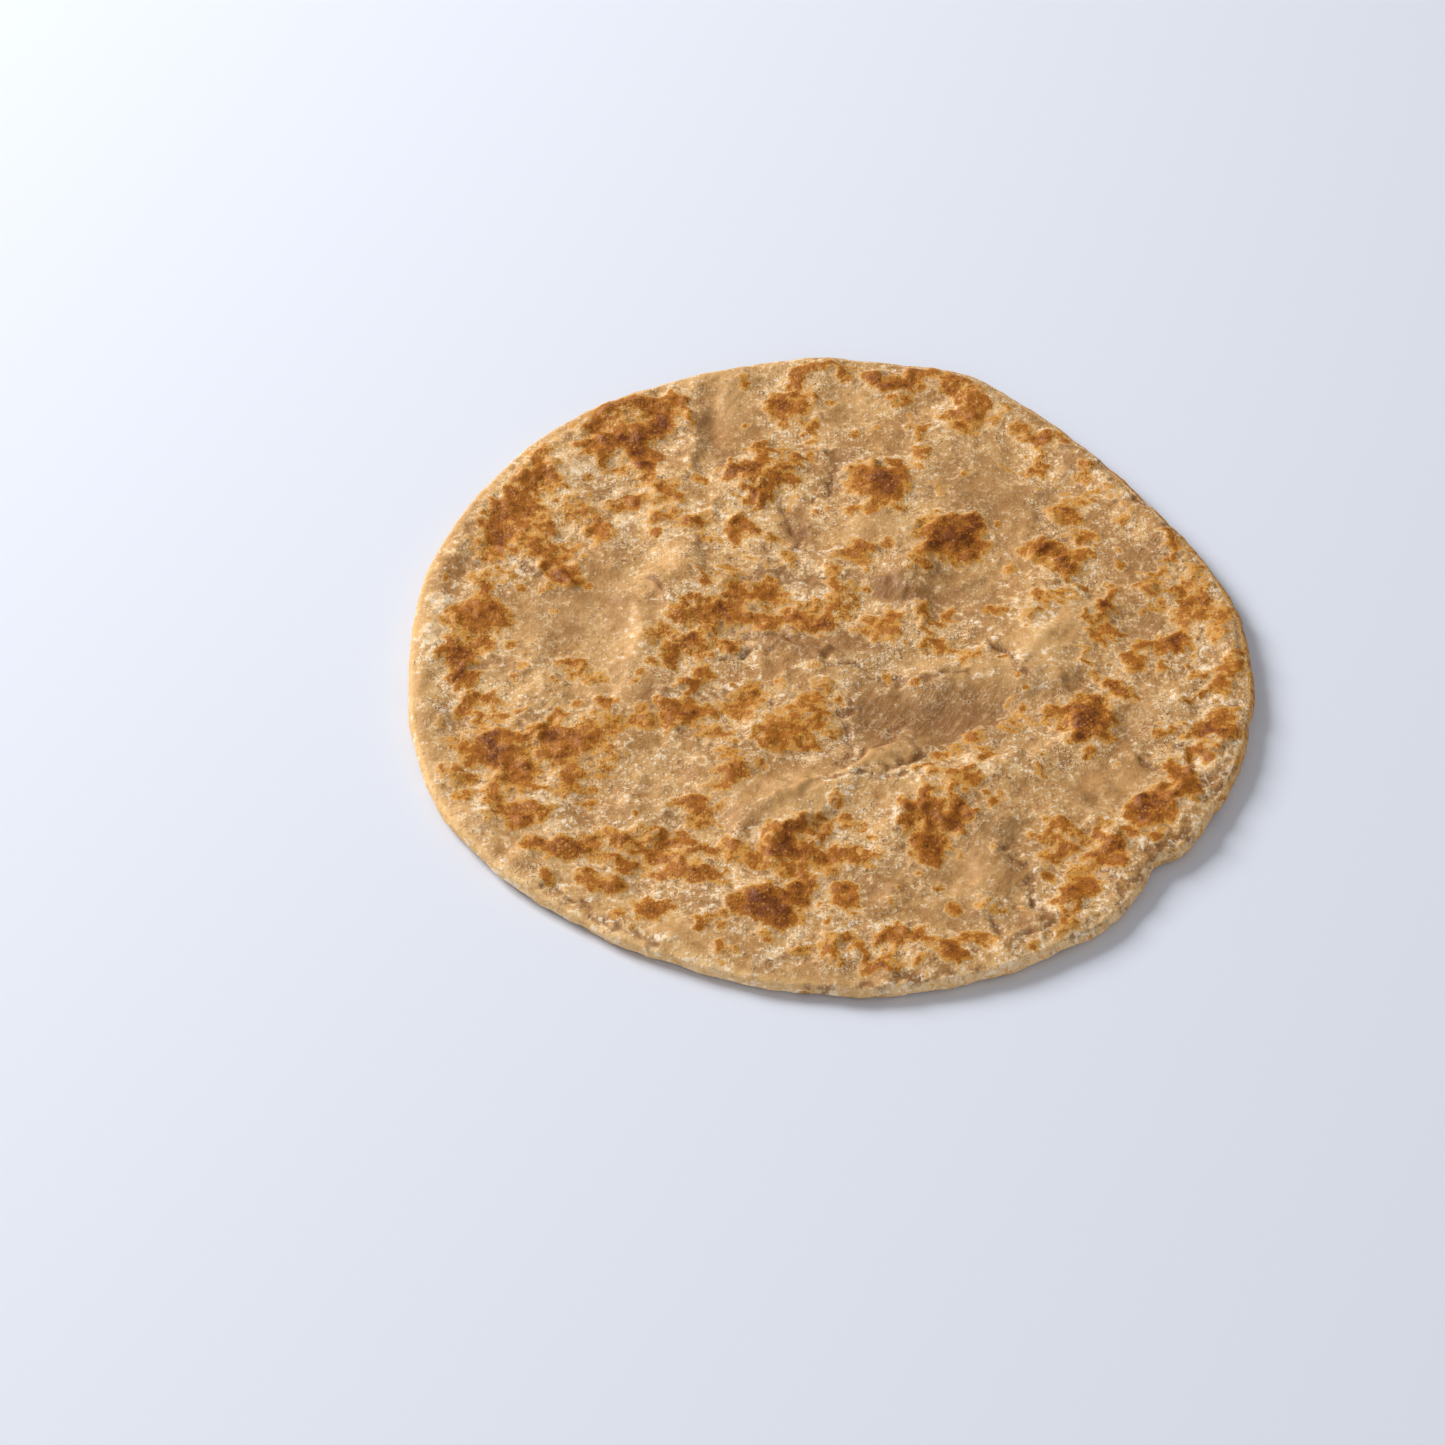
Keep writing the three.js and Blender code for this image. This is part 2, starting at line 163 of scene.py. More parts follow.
        (31.5, -2.5, 2, 2.5, .45), (-20, -17, 4.5, 3.5, .55, 20), (-17.5, -13, 3, 3, .5),
        (-21, -20, 3, 2, .5), (-29, -25.5, 3, 1.6, .5), (-23, -26.5, 3, 2, .5),
        (-22.5, -33, 2.5, 2.5, .5), (-12, -10, 2, 2, .35), (-2, -11.5, 2.5, 2, .4),
        (-5.5, -14.5, 2, 1.3, .7), (-2, -15.5, 2.4, 1.8, .5), (1.5, -16, 1.5, 1.5, .5),
        (-6, -18.5, 2, 2, .6), (-2.5, -20, 2, 2.5, .6), (-8.5, -21.5, 3, 2.5, .5),
        (-3, -23.5, 2, 1.5, .65), (0, -26, 2, 2, .4), (-12, -24, 3, 3, .5), (-13.5, -28, 3, 3, .65),
        (-9, -28, 4, 3.5, .6), (-5, -30.5, 2, 1.5, .6), (-14, -30.8, 1.8, 1, .7),
        (31, -27.5, 2, 2, .6), (33.5, -33.5, 2, 2, .65), (27, -31, 2, 2.5, .45),
        (24, -33, 1.5, 1.5, .4), (33, -24.5, 1.5, 1.5, .4), (20.5, 29, 1.2, 5, .5, -15),
        (22.5, 26.5, 1.2, 2, .7),
    ],
    "right": [
        (50.5, 33.5, 2.8, 3.2, .9, -20), (51, 33.5, 3.8, 4, .45), (55, 27.5, 2.4, 3.4, .88, 10),
        (57, 31, 4.5, 1.8, .6), (60, 30.5, 2, 1, .6), (55.5, 23.5, 1.5, 1.5, .45),
        (63.7, 16, 1.2, 3.8, 1, -12), (64, 16, 2.2, 4.8, .4, -12), (48, 17, 3, 2, .55),
        (53.5, 17.5, 2.5, 2, .55), (49, 14.5, 2, 1.5, .5), (45, 10, 2, 3, .35),
        (37, 13.5, 2, 2, .5), (58.5, 10, 1, 3.5, .6), (60, 5.5, 1.5, 3, .55),
        (62.5, 6, 2.5, 2, .65), (66, 4.5, 1.5, 1, .6), (61.5, 3, 1.2, 1.5, .6),
        (70, 1.5, 2, 1.5, .8, 20), (74, 1.5, 2.5, 1.6, .75), (77.5, 2.5, 2.6, 2.2, .9),
        (79, -.5, 1.3, 2, .6), (67.5, -2.5, 1.6, 2, .7), (68, -5.5, 1.3, 1.8, .85),
        (74, -5.8, 1.5, 1.5, .65), (80, 8, 1.2, 3.5, .65), (81.5, 13.5, 2.4, 3.5, .7, -20),
        (79.5, 18.5, 2.4, 1.8, .65), (74.5, 19.5, 3, 1.5, .6, -10), (71.5, 21, 1.6, 1.2, .5),
        (76, 23.5, 3, 1.5, .5), (73, 14.5, 3, 2, .45), (85, 17, 2.4, 2.8, .6), (85.5, 14, 2, 2, .6),
        (84, 10.5, 2.5, 2, .5), (88, 8, 3, 4, .5), (87, 3, 3, 3, .4), (91.5, -3, 1.5, 2.5, .6),
        (79.5, 34, 1.5, 4, .6), (81, 31, 1.5, 3, .55), (78, 28.5, 2, 2, .5), (84, 24, 3, 4, .4),
        (66, 29, 1, 1.5, .4), (57.5, -2.5, 4, 1, .5, -35), (63, -12, 1.5, 3, .88, 10),
        (65, -15, 1.5, 2, .9), (63.5, -10.5, 1.5, 1.6, .6), (86.5, -8, 3, 1.6, .6, 20),
        (90.5, -8.5, 1.5, 2, .65), (87.5, -12, 2.5, 1.6, .85, 25), (84, -14.5, 2.4, 1.5, .7, 30),
        (86.5, -16, 1.5, 1.5, .5), (82, -10, 1.5, 2, .5), (80.5, -6, 1.5, 1.5, .5),
        (78.5, -17.5, 2, 1.2, .6), (41, -15, 1.5, 1.5, .5), (42, -20.5, 2.5, 2.5, .45),
        (39, -24, 3, 2, .45), (48, -20.5, 2.5, 2, .5), (52, -18.5, 2.4, 2.2, .75),
        (57, -17.5, 3.4, 2.2, .8), (56.5, -22, 4.2, 3.4, .9), (54.5, -25, 3.6, 3.4, .95),
        (55, -27.8, 2.4, 1.8, .85), (59.5, -19.5, 1.6, 2.4, .75), (60, -28.5, 1.6, 2, .7),
        (58.5, -25, 2, 2, .7), (86, -22.5, 2.4, 2.2, .65), (82, -27.5, 3, 2, .9),
        (85, -29.5, 3, 1.6, .8, -10), (87.5, -27, 1.4, 2.5, .6), (84.5, -25.5, 2, 1.5, .7),
        (79.5, -35, 2.2, 2, .85, 30), (80.5, -32.5, 1.5, 1.5, .6), (88.5, -30, 1.5, 3, .45),
        (72, -27.5, 1.5, 1.2, .5), (76, -26, 1.2, 1.2, .5),
    ],
    "front left": [
        (-76, -36, 3.5, 1.8, .8), (-82, -41, 3, 3, .45), (-78, -47, 4, 1.6, .55, 10),
        (-73.5, -47.5, 2.2, 2, .6), (-72, -43, 3, 2, .55), (-68, -40.5, 4, 3.5, .7),
        (-66, -37, 3, 2, .6), (-64, -43, 3, 2, .5), (-56.5, -40.5, 2.5, 3, .75),
        (-58, -37.5, 2, 2, .65), (-60, -45, 3, 2, .4), (-50, -38, 4, 3, .4),
        (-68.5, -51.5, 3.4, 2.4, .75), (-66.5, -54, 3.2, 2, .8), (-63.5, -51, 3, 1.6, .65),
        (-68, -56.5, 2.4, 1.5, .7), (-72.5, -51, 2.5, 2.5, .45), (-73.5, -54, 2.5, 3.5, .35),
        (-51.5, -48, 2.5, 2, .55), (-64, -62, 2.5, 2, .65), (-60, -62.5, 3.5, 2.4, .8),
        (-55, -61.5, 3.5, 2.4, .85), (-56.5, -65, 3, 1.2, .6), (-52, -63, 2, 1.5, .5),
        (-50, -58, 3, 2, .5), (-45, -58.5, 3, 2, .6, -20), (-39, -56.5, 3, 2, .5),
        (-35, -59, 3.5, 1.6, .75, 20), (-41.5, -61, 3, 1.5, .75, -20), (-37.5, -62.5, 2.5, 2, .8),
        (-46, -65.5, 3, 1.8, .75, -15), (-44, -67, 1.5, 1.2, .6), (-36.5, -65, 2, 1.5, .7),
        (-33, -68, 3, 2, .8, -10), (-53, -71, 2.4, 2, .75), (-50, -73.5, 3, 1.4, .7, -15),
        (-47, -73, 2, 2, .65), (-39, -80, 2.6, 2.6, .82), (-36, -78.5, 1.8, 1.5, .6),
        (-37, -69, 2.5, 1, .5),
    ],
    "front": [
        (-23, -40, 2.6, 4, .65, -25), (-20.5, -37.5, 2, 2, .5), (-24, -43.5, 2, 1.5, .5),
        (-31, -46.5, 3.5, 2, .75), (-29, -49, 3, 2.2, .75), (-27, -52.5, 1.6, 1, .5),
        (-30, -53.5, 2.5, 1.5, .5), (-32, -58, 2.5, 1.5, .65), (-28, -62, 3.5, 1.8, .75),
        (-32, -63, 2, 1.5, .7), (-22.5, -60.5, 1.2, 2.5, .65), (-32, -66.5, 1.6, 1.5, .7),
        (-29, -68.5, 2.5, 1.8, .8), (-26, -69, 1.8, 1.5, .8), (-24, -71, 2.5, 1, .5),
        (-23.5, -90, 1.5, 2.5, .55), (-14, -56.5, 2, 1.6, .55, 30), (-10.5, -57, 2.6, 2, .85, 40),
        (-7.5, -56.5, 2, 1.8, .8), (-11, -60.5, 3, 2.4, .9), (-13, -62.5, 2.5, 2, .8),
        (-8.5, -62.5, 3, 2.4, .85), (-5, -64.5, 2, 1.8, .75), (-7, -68, 2, 2.4, .7),
        (-10.5, -67.5, 2.5, 2, .6), (-13.5, -68, 1.5, 1.2, .6), (-18, -63, 3.5, 2, .55, -10),
        (-20.5, -65, 2, 1.5, .5), (-16.5, -66, 2, 1.2, .6), (-3, -57, 2.5, 2, .55),
        (-2.5, -53.5, 2, 2, .5), (2.3, -52.5, 2, 1.8, .68), (-1.5, -63.5, 3, 2, .75),
        (-3.5, -62.5, 2, 1.5, .65), (1.5, -62.5, 2, 1.5, .6), (-2, -68, 2, 1.5, .45),
        (5.5, -64, 2.4, 2.4, .75), (8, -63, 2, 1.5, .55), (-6, -53, 3, 1.4, .35),
        (0, -48, 1.5, 1.5, .4), (-8, -73, 2.2, 2.6, .9, -20), (-8, -76, 1.8, 1.5, .75),
        (-5.8, -71.5, 1.2, 1.5, .7), (-17, -77, 3.2, 2.6, .92), (-19, -79.5, 2.5, 1.8, .7),
        (-13, -77.5, 3.5, 3, .98), (-15, -80.5, 3.5, 2.4, .95), (-10.5, -80, 2.8, 2.8, .9),
        (-11.5, -83, 2.6, 1.8, .85), (-21.5, -78.5, 1.6, 2.2, .5), (-16, -75.2, 2.5, 1.5, .8),
        (1.7, -73, 2, 2.4, .82), (1.5, -76.5, 2.4, 1.6, .75), (-27, -82, 4, 1.4, .5, 20),
        (-29, -83.5, 1.2, 1, .6), (16, -51, 2, 3.2, .7), (20, -46.5, 2.2, 2.4, .75),
        (19, -50, 2.5, 2.5, .8), (22, -53, 3.5, 2.4, .8), (16.5, -54, 1.8, 2, .6),
        (26.5, -51.5, 2.4, 2.6, .85), (25.5, -54.5, 2, 1.8, .7), (25.8, -46.5, 1, 2, .65),
        (19, -59, 3, 2.6, .8), (21, -61.5, 2.4, 2.4, .9), (18.5, -63, 2.5, 1.8, .75),
        (20.5, -65, 1.8, 1, .7), (25, -41, 2.5, 3, .55), (28, -39.5, 3, 1.2, .6),
        (31, -40.5, 1.5, 1.5, .45), (18, -38, 1.2, 1.5, .5), (34, -47.8, 1.9, 2, .78),
        (3, -80.5, 1.5, 1.2, .5), (18, -70, .8, 1.2, .5), (20, -72, 3, 1, .55),
        (31, -78.5, 2, 1.5, .55), (34, -62, 1, 2, .4), (-8, -91.5, 4, 1.6, .55, 25),
        (-2, -92.5, 2, 2.4, .65), (0, -95, 1.5, 1.5, .5), (-2, -88.5, 2.5, 1.5, .4),
        (2, -88, 2, 1.2, .5), (4.2, -93.5, 1.3, 2.2, .8), (4, -90.5, 1, 1.2, .55),
        (12.8, -84.5, 1.2, 1.6, .6), (10.5, -88, 2.6, 2, .7), (15.8, -87.5, 2.4, 2.2, .95),
        (8.5, -96.5, 2.5, 1.3, .8), (11, -97.5, 1.5, 1, .7), (10, -94, 2, 2.5, .45),
        (17, -95.5, 1.4, 1.5, .6), (22.5, -92.5, 2, 2.6, .85), (24.5, -93.5, 1.2, 2.2, .75),
        (28, -88.5, 2.4, 1.5, .7), (32, -90, 1.4, 1.2, .5), (19, -89.5, 1.2, 2, .45),
    ],
    "front right": [
        (44.5, -38.5, 1.2, 2, .5), (72, -37.5, 2.4, 2, .5), (74.5, -41, 2, 3, .75, 20),
        (76, -45, 2.4, 3, .75, 30), (78, -46.5, 1.5, 1.5, .5), (73.5, -48, 3.2, 1.6, .9, 15),
        (67.5, -47.5, 3.2, 2, .9, 10), (66.5, -51.5, 3, 2.4, 1, 20), (69.5, -51, 3, 1.8, .88),
        (64, -51.5, 1.6, 2.4, .75, -20), (66, -54.5, 3, 1.8, .8), (69, -54.5, 1.8, 1.5, .7),
        (66, -57.5, 2.5, 1.6, .55), (62, -58.5, 1.6, 1.2, .85), (71.5, -55.5, 1.5, 1, .5),
        (45.8, -56.5, 1.2, 1.8, .75), (47.5, -55, 3, 1.6, .6), (51.5, -57.5, 2.4, 1.5, .6, -20),
        (43, -58, 2, 1.5, .5), (47, -62.5, 3, 2, .6), (50, -61.5, 1.5, 1.2, .5),
        (56, -59, 1.5, 1.5, .7), (58, -61.5, 2.4, 2, .88), (57, -64, 2.4, 1.8, .8),
        (58.5, -67, 2, 1.5, .65), (60, -65, 1.5, 3, .4), (54, -66, 2, 2.5, .5, -30),
        (52, -68, 1.8, 1.6, .65), (48.5, -69, 1.2, 1.5, .6), (56, -55, 2.5, 1.5, .45),
        (54, -72, 1.6, 2, .7, -20), (51, -73.5, 2.8, 3.6, .82, -30),
        (48, -77.5, 2.4, 2.4, .75, -30), (46.5, -79.5, 1.2, 1, .6), (47.5, -84, 1.6, 3, .55, -20),
        (45, -88, 2, 2, .4), (50, -79, 1.2, 1.5, .6), (40, -92, 3, 2, .45),
        (34.5, -80, 1.2, .8, .7),
    ],
}

# Pale, floury places, given as the toasted spots are, with strength in place of browning. Some are
# painted highlights: the lit crest from (0, -41) to (36, -37), the tongue at (10, -34) and the lit
# left flanks of ridges near (-45, 5), (-12, -45), (34, -9) and (47, 2).
FLOUR_AND_HIGHLIGHT: list[Spot] = [
    (-89, 13, 3.5, 3.5, 1), (-89.5, 3, 2, 7, .9), (-88, -18, 2, 4, .8), (-91, -8, 1.5, 3, .6),
    (-89, -28, 1.5, 3, .6), (-45, 7, 2.5, 7, .6, -8), (-57, 60, 4, 3, .7), (-49, 45, 4, 3, .7),
    (-27, 47, 3, 1.5, .9, 30), (-29, 50, 2, 2, .5), (-35, 40, 2, 2, .6), (-17, 57, 2, 1, .7),
    (-18, 66.5, 2.5, 1.5, .7), (-16, 72.5, 1.5, 1.2, .8), (-3, 27, 4, 3, .8), (-8, 21, 2, 4, .8),
    (1, 33, 4, 1.5, .8), (-1, 19, 2, 2, .6), (-22, 4, 2.5, 1, .7, -30), (-19, 1, 3, .8, .7, -30),
    (-21, -12, 3, 1, .7, -30), (17, -5.5, 1, 2, .9), (16, 2, 1, 3, .7), (10, -1, 2, 3, .6),
    (20, 16, 3, 1, .7, 15), (33, 11, 2.5, 2, .7), (34, -9, 5, 1.2, .9, 8), (24, -10, 2.5, 1.5, .7),
    (6, -14.5, 1, 2, .8), (12.5, -26, 1, 2.5, .7, -15), (3, -30, 1.5, 2, .7),
    (-3.5, -33.5, 2, 1.5, .7), (36, -32, 4, 2, .5), (47, 7, 3, 8, .55, -20), (44, -3, 2, 5, .6, 25),
    (46, -10, 2, 4, .6, 30), (57, 20.5, 1, 1.5, .7), (38, -2, 1.2, 2, .6), (50, 26, 2.5, 2, .5),
    (66, -31, 1, 1.5, .7), (63, -38, 2, 1, .6), (58, -12, 1.5, 2, .5), (83, -7.5, 2, .6, .7, 10),
    (86, -19.5, 4, .8, .6, -8), (82, -21.5, 3, 1, .6, -35), (-76.5, -53, 1.2, 3.5, .8),
    (-79, -57, 2, 1.5, .5), (-85, -50, 2.5, 4, .5), (-60, -47, 3, 2, .5),
    (-42, -88, 2, 1.2, .7, 15), (-37, -88, 2, 1, .8, 25), (-33, -88, 1.6, 1.2, .8),
    (-62, -55, 5, 2, .4), (-52, -66, 4, 2, .5), (-17, -56.5, 1.6, 1.2, .9),
    (-14, -55, 2, 1, .7, 20), (0, -41.5, 4, .8, .8), (8, -41.5, 4, .8, .6), (2, -45, 2, 1.5, .6),
    (-1, -48, 1.2, 1.5, .7), (13.5, -52, 1, 2.5, .7), (23, -39, 3, .8, .8, 15),
    (-5, -70, 1, 1.5, .6), (-28, -77, 4, 3, .4), (-14, -93, 3.5, 1, .9, 45),
    (-16.5, -96, 1.5, 2, .9), (6, -79, 4, .8, .5, 15), (8.5, -84.5, 1.2, 1, .7),
    (12, -38, 1.2, 1, .8), (56, -77, 1.5, 4, .5, -20), (42, -78, 3, .8, .6, -30),
    (10, -34.3, 7.5, 2.2, .3, 28), (13, -41.3, 12, 1.3, .55, 3), (36, -37.4, 10, 1.5, .5, 18),
    (-12, -45.5, 8, 2.2, .45, 38), (-44, 3, 2.5, 10, .45, -12), (47, 2, 3.5, 9, .5, -22),
]

# Smooth, bare places where the brown dough shows with little flour or toast. Some are painted shade:
# the shadow under a blister at (-61, 19), another at (38, -84), the dark flanks near (-48, 15) and
# (30, -62), and, in part, the hollow at (24, -20).
BARE_AND_SHADE: list[Spot] = [
    (24, -20, 17, 10, 1, 4), (8, -20, 4, 11, .8), (18, 18, 7, 3, .8, -15), (32, 22, 6, 7, .6),
    (14, 43, 6, 4, .5), (33, 58, 8, 10, .7), (42, 50, 8, 8, .6), (-58, 12, 9, 12, .6),
    (-48, 15, 3, 6, .7), (5, 85, 6, 5, .5), (-20, 85, 5, 10, .5), (-27, 72, 3, 10, .5),
    (4, 68, 3, 5, .5), (-20, 7, 5, 2, .8, -20), (-10, 3, 6, 2, .7), (-15, -47, 5, 7, .6, -30),
    (-8, -45, 3, 5, .5), (-20, -52, 5, 4, .5), (30, -62, 6, 12, .8), (28, -80, 8, 4, .6),
    (38, -84, 4, 3, .8), (37, -68, 2, 10, .5), (10, -70, 8, 6, .5), (-3, -99, 8, 2, .7),
    (-12, -92, 4, 3, .5), (68, -20, 3, 6, .6), (64, -25, 3, 5, .6), (68, -40, 4, 3, .6),
    (56, -45, 6, 4, .5), (72, 9, 4, 5, .6), (77, 30, 4, 4, .8), (70, 30, 5, 5, .5),
    (57, 66, 2.5, 4, .7), (-42, -50, 5, 2, .5), (-40, -43, 3, 2, .6), (-40, -13, 4, 4, .6, -40),
    (-48, -7, 4, 3, .5), (-61, 19, 3, 2, .8), (-56, -16, 4, 2, .6), (-65, -22, 4, 3, .5),
    (-75, -5, 4, 4, .5), (-12, 24.5, 7, 3, 1), (-15, 6, 8, 2.6, 1, -12), (-2, 0, 7, 2.2, 1, -20),
    (0, 23, 6, 2.5, .9), (24, 30, 6, 3, .7, -30), (-6, 44, 2.5, 5, .7, 20), (4, 60, 2.5, 6, .6),
    (14, 21, 8, 3, 1, -12), (-4, 12, 4, 2, .8, -20), (6, 3, 6, 2.5, .9, -15), (28, 12, 5, 3, .6),
    (-24, 66, 2, 6, .7), (-30, -16, 7, 2, .6, 15), (-18, -32, 6, 2.5, .6, 30),
]

# Smooth, pale dough without grit: folds, flanks of swells and the rolled margin.
SMOOTH: list[Spot] = [
    (10, -34, 8, 2.8, 1.1, 28), (-10, -47, 10, 5.5, 1.1, 45), (-21, -43, 6, 4, .8, 30),
    (31, -8, 9, 3, 1, 8), (47, 2, 5, 11, 1.1, -15), (57, 8, 4, 8, .8, -15), (-43, 5, 4, 14, 1, -10),
    (-55, 12, 8, 12, .6), (-37, 27, 4, 7, .7), (13, 42, 7, 6, .9), (38, 60, 9, 9, .5),
    (5, 87, 8, 5, .6), (-22, 88, 4, 8, .7), (-63, -64, 9, 3.5, .8, -42),
    (-50, -75, 9, 3.5, .8, -33), (-35, -86, 10, 3.5, .8, -25), (-92, 10, 2.5, 13, .9),
    (-91, -15, 2.5, 11, .9), (-88, -34, 3, 10, .8, 15), (-79, -52, 3, 9, .8, 36),
    (20, -44, 11, 3, .8), (62, -42, 8, 4.5, .8), (35, 28, 5, 6, .7), (-4, -100, 14, 2.5, .7),
    (-38, 47, 4, 4, .8), (-52, -9, 9, 4, .7, -35), (66, -18, 3, 7, .6), (28, -67, 6, 10, .8),
    (44, 34, 3, 8, .6, -20), (-62, 76, 9, 2.5, .8, 45), (-78, 55, 8, 2, .8, 60),
    (-89, 32, 8, 2, .8, 75), (-30, 98, 12, 2.5, .6, 15), (60, 78, 9, 2, .6, -52),
    (-70, 5, 5, 10, .5),
]

# Fine creases and the lips of torn flakes, as lines of (across, away). The creases are also painted
# darker as shade, and the lips beside them paler, partly as painted highlight.
CREASES: list[Line] = [
    [(-9, 4), (-6, 0), (-3, -3.5), (4, -4.5), (8, -6), (10.5, -9)],
    [(-28, -3), (-22, -2.5), (-16, .5), (-12, 0)],
    [(11, -9.5), (19, -10), (24, -7.5), (31, -6.5)],
    [(-3, -40.5), (4, -41), (12, -40.5), (19, -39.5)],
    [(3, -14), (2.5, -22), (3.5, -30), (1, -36)],
    [(-13.5, -22), (-13, -18), (-17, -14.5)],
    [(36, 2), (41, -3), (44, -9)],
    [(-7, -101), (3, -102.3), (14, -100.5), (19, -99.5)],
    [(33, -84), (36, -90), (36.5, -95.5)],
    [(78, -18.5), (84, -19.5), (90, -20), (92, -24)],
    [(-18, -97), (-14, -93), (-8.5, -88.5)],
    [(36, -60), (40, -68), (42, -77), (44, -84)],
    [(-40, 23), (-39, 19), (-37, 14), (-35, 8)],
    [(-72, 31), (-70.5, 25.5), (-66, 25)],
    [(-9, 47), (-8, 42), (-5, 36)],
    [(1, 70), (3, 66), (1, 58), (-2, 52)],
    [(59, 66), (61, 67), (67, 60)],
    [(63, -62), (66, -66), (69, -68)],
    [(57, -70), (60, -75), (59, -81)],
    [(74, -30), (80, -41), (84, -43)],
    [(65, -30), (66, -36), (71, -38)],
    [(15, -27), (12.5, -24), (16, -21.5)],
    [(-64, -27), (-62, -23), (-61, -20)],
    [(2.5, -34.5), (8, -31), (13, -28.5), (17.5, -27.5)],
    [(19, -30.5), (15, -35), (9, -38.5)],
    [(91, -26), (87, -38), (82, -49)],
    [(86, -33), (82, -42), (77, -50)],
    [(76, -57), (71, -66), (64, -74)],
    [(70, -62), (64, -70), (60, -73)],
    [(62, -79), (53, -86), (43, -92)],
    [(52, -80), (45, -86), (40, -88)],
    [(30, -96.5), (22, -99), (12, -100)],
    [(-61, -74), (-50, -82), (-39, -89)],
    [(82, 36), (77, 47), (70, 56)],
]

# Soft ridges in the sheet, and valleys where the height is below 0, as (height, half width on
# the left of its line, half width on the right, points of the line).
SWELLS: tuple[Swell, ...] = (
    (1.2, 3.5, 11, ((-45, -12), (-42, 2), (-39, 14), (-37, 23))),
    (0.6, 3.0, 5, ((-36, 18), (-36, 27), (-34, 36))),
    (1.3, 7, 6, ((49, -10), (53, 2), (56, 12), (51, 21))),
    (0.8, 3.0, 9, ((22, -9), (32, -8), (43, -6))),
    (2.0, 3.2, 22, ((-8, -44), (0, -41), (10, -41), (22, -40), (34, -38), (46, -34), (53, -28))),
    (1.5, 2.8, 2.8, ((4, -37.5), (10, -34), (16, -30.5))),
    (1.1, 2.6, 2.6, ((-21, -57), (-13, -49), (-6, -43))),
    (0.9, 2.4, 2.6, ((-14, -59), (-7, -52), (0, -46))),
    (0.7, 3.0, 3.4, ((-24, 84), (-22, 93), (-17, 96))),
    (0.7, 2.5, 3.0, ((-30, 35), (-32, 43), (-28, 50))),
    (0.8, 3.6, 3.6, ((-39, 45), (-37, 48))),
    (0.7, 6.5, 6.5, ((11, 42), (13, 40))),
    (0.7, 2.5, 5, ((10, 49), (17, 45), (21, 36), (22, 28))),
    (0.8, 4.5, 3.0, ((8, 31), (14, 25), (21, 21))),
    (-0.8, 2.2, 3.5, ((-3, 52), (-7, 44), (-11, 34))),
    (-0.8, 4.0, 7.0, ((24, -60), (27, -72))),
    (0.8, 3.0, 5, ((34, -54), (36, -66), (32, -80))),
    (0.7, 2.5, 3, ((39, -83), (35, -91), (36, -98))),
    (0.7, 3.0, 5, ((57, 71), (64, 63), (72, 50), (79, 37))),
    (-0.8, 7, 7, ((62, -44), (55, -38))),
    (0.8, 5, 2.5, ((-74, -45), (-77, -53), (-70, -60))),
    (0.5, 3.0, 2.0, ((11, -84), (8, -80), (2, -79))),
    (0.6, 1.8, 1.8, ((-18, -96), (-12, -91), (-5, -88))),
    (-0.6, 4.0, 3.0, ((-50, 15), (-52, 6))),
    (0.5, 6, 6, ((-66, 30), (-63, 8), (-66, -12))),
    (0.7, 3.5, 5, ((-30, 92), (-33, 82), (-31, 70), (-36, 58))),
    (-0.6, 2.4, 3.5, ((-25, 84), (-26, 72), (-28, 60))),
    (0.5, 4.0, 6, ((38, 62), (48, 52), (46, 40))),
    (-0.6, 3.0, 3.0, ((42, 40), (40, 28), (34, 18))),
    (0.5, 4.0, 4, ((0, 84), (6, 78), (4, 70))),
    (-0.6, 3.5, 3.5, ((-2, 66), (4, 62), (2, 54))),
    (0.6, 3.0, 4, ((66, -6), (72, -14), (74, -26))),
    (0.6, 3.5, 6, ((-58, -58), (-48, -52), (-38, -50))),
    (0.5, 3.0, 6, ((-30, -76), (-18, -82), (-4, -82), (8, -80))),
    (0.5, 4, 4, ((56, -52), (66, -60), (72, -68))),
    (0.6, 0.8, 3.5, ((90, -28), (86, -38), (81, -47), (76, -53))),
    (0.6, 0.8, 3.0, ((84, -33), (80, -42), (74, -49))),
    (0.6, 0.8, 3.5, ((77, -58), (71, -66), (63, -74))),
    (0.5, 0.8, 2.5, ((70, -60), (64, -68), (58, -73))),
    (0.6, 0.8, 3.0, ((60, -81), (52, -87), (43, -92))),
    (0.5, 0.8, 2.5, ((50, -78), (44, -84), (37, -88))),
    (0.6, 0.8, 3.5, ((-14, 5), (-6, 1), (2, -4), (10, -8))),
    (0.5, 0.8, 2.5, ((-26, 2), (-18, 0), (-10, -6))),
    (0.5, 0.8, 3.0, ((20, 12), (28, 6), (36, 3))),
    (0.5, 0.8, 2.5, ((-20, 22), (-12, 20), (-4, 22))),
    (0.5, 0.8, 2.5, ((30, -80), (33, -88), (34, -95))),
    (0.5, 0.8, 2.5, ((-20, -98), (-13, -93), (-7, -88))),
    (0.5, 0.8, 2.5, ((72, -6), (80, -10), (88, -12))),
    (0.7, 3.0, 3.5, ((-91, -30), (-92, -8), (-90, 18), (-83, 42), (-71, 61), (-56, 77), (-38, 90))),
)

# How far the margin itself is toasted, as (direction in degrees, browning).
RIM_TOAST: Line = (
    (0, 0.42), (25, 0.44), (50, 0.4), (75, 0.34), (100, 0.25), (130, 0.12), (155, 0.03), (225, 0.0),
    (260, 0.08), (290, 0.16), (320, 0.2), (345, 0.34), (360, 0.42),
)


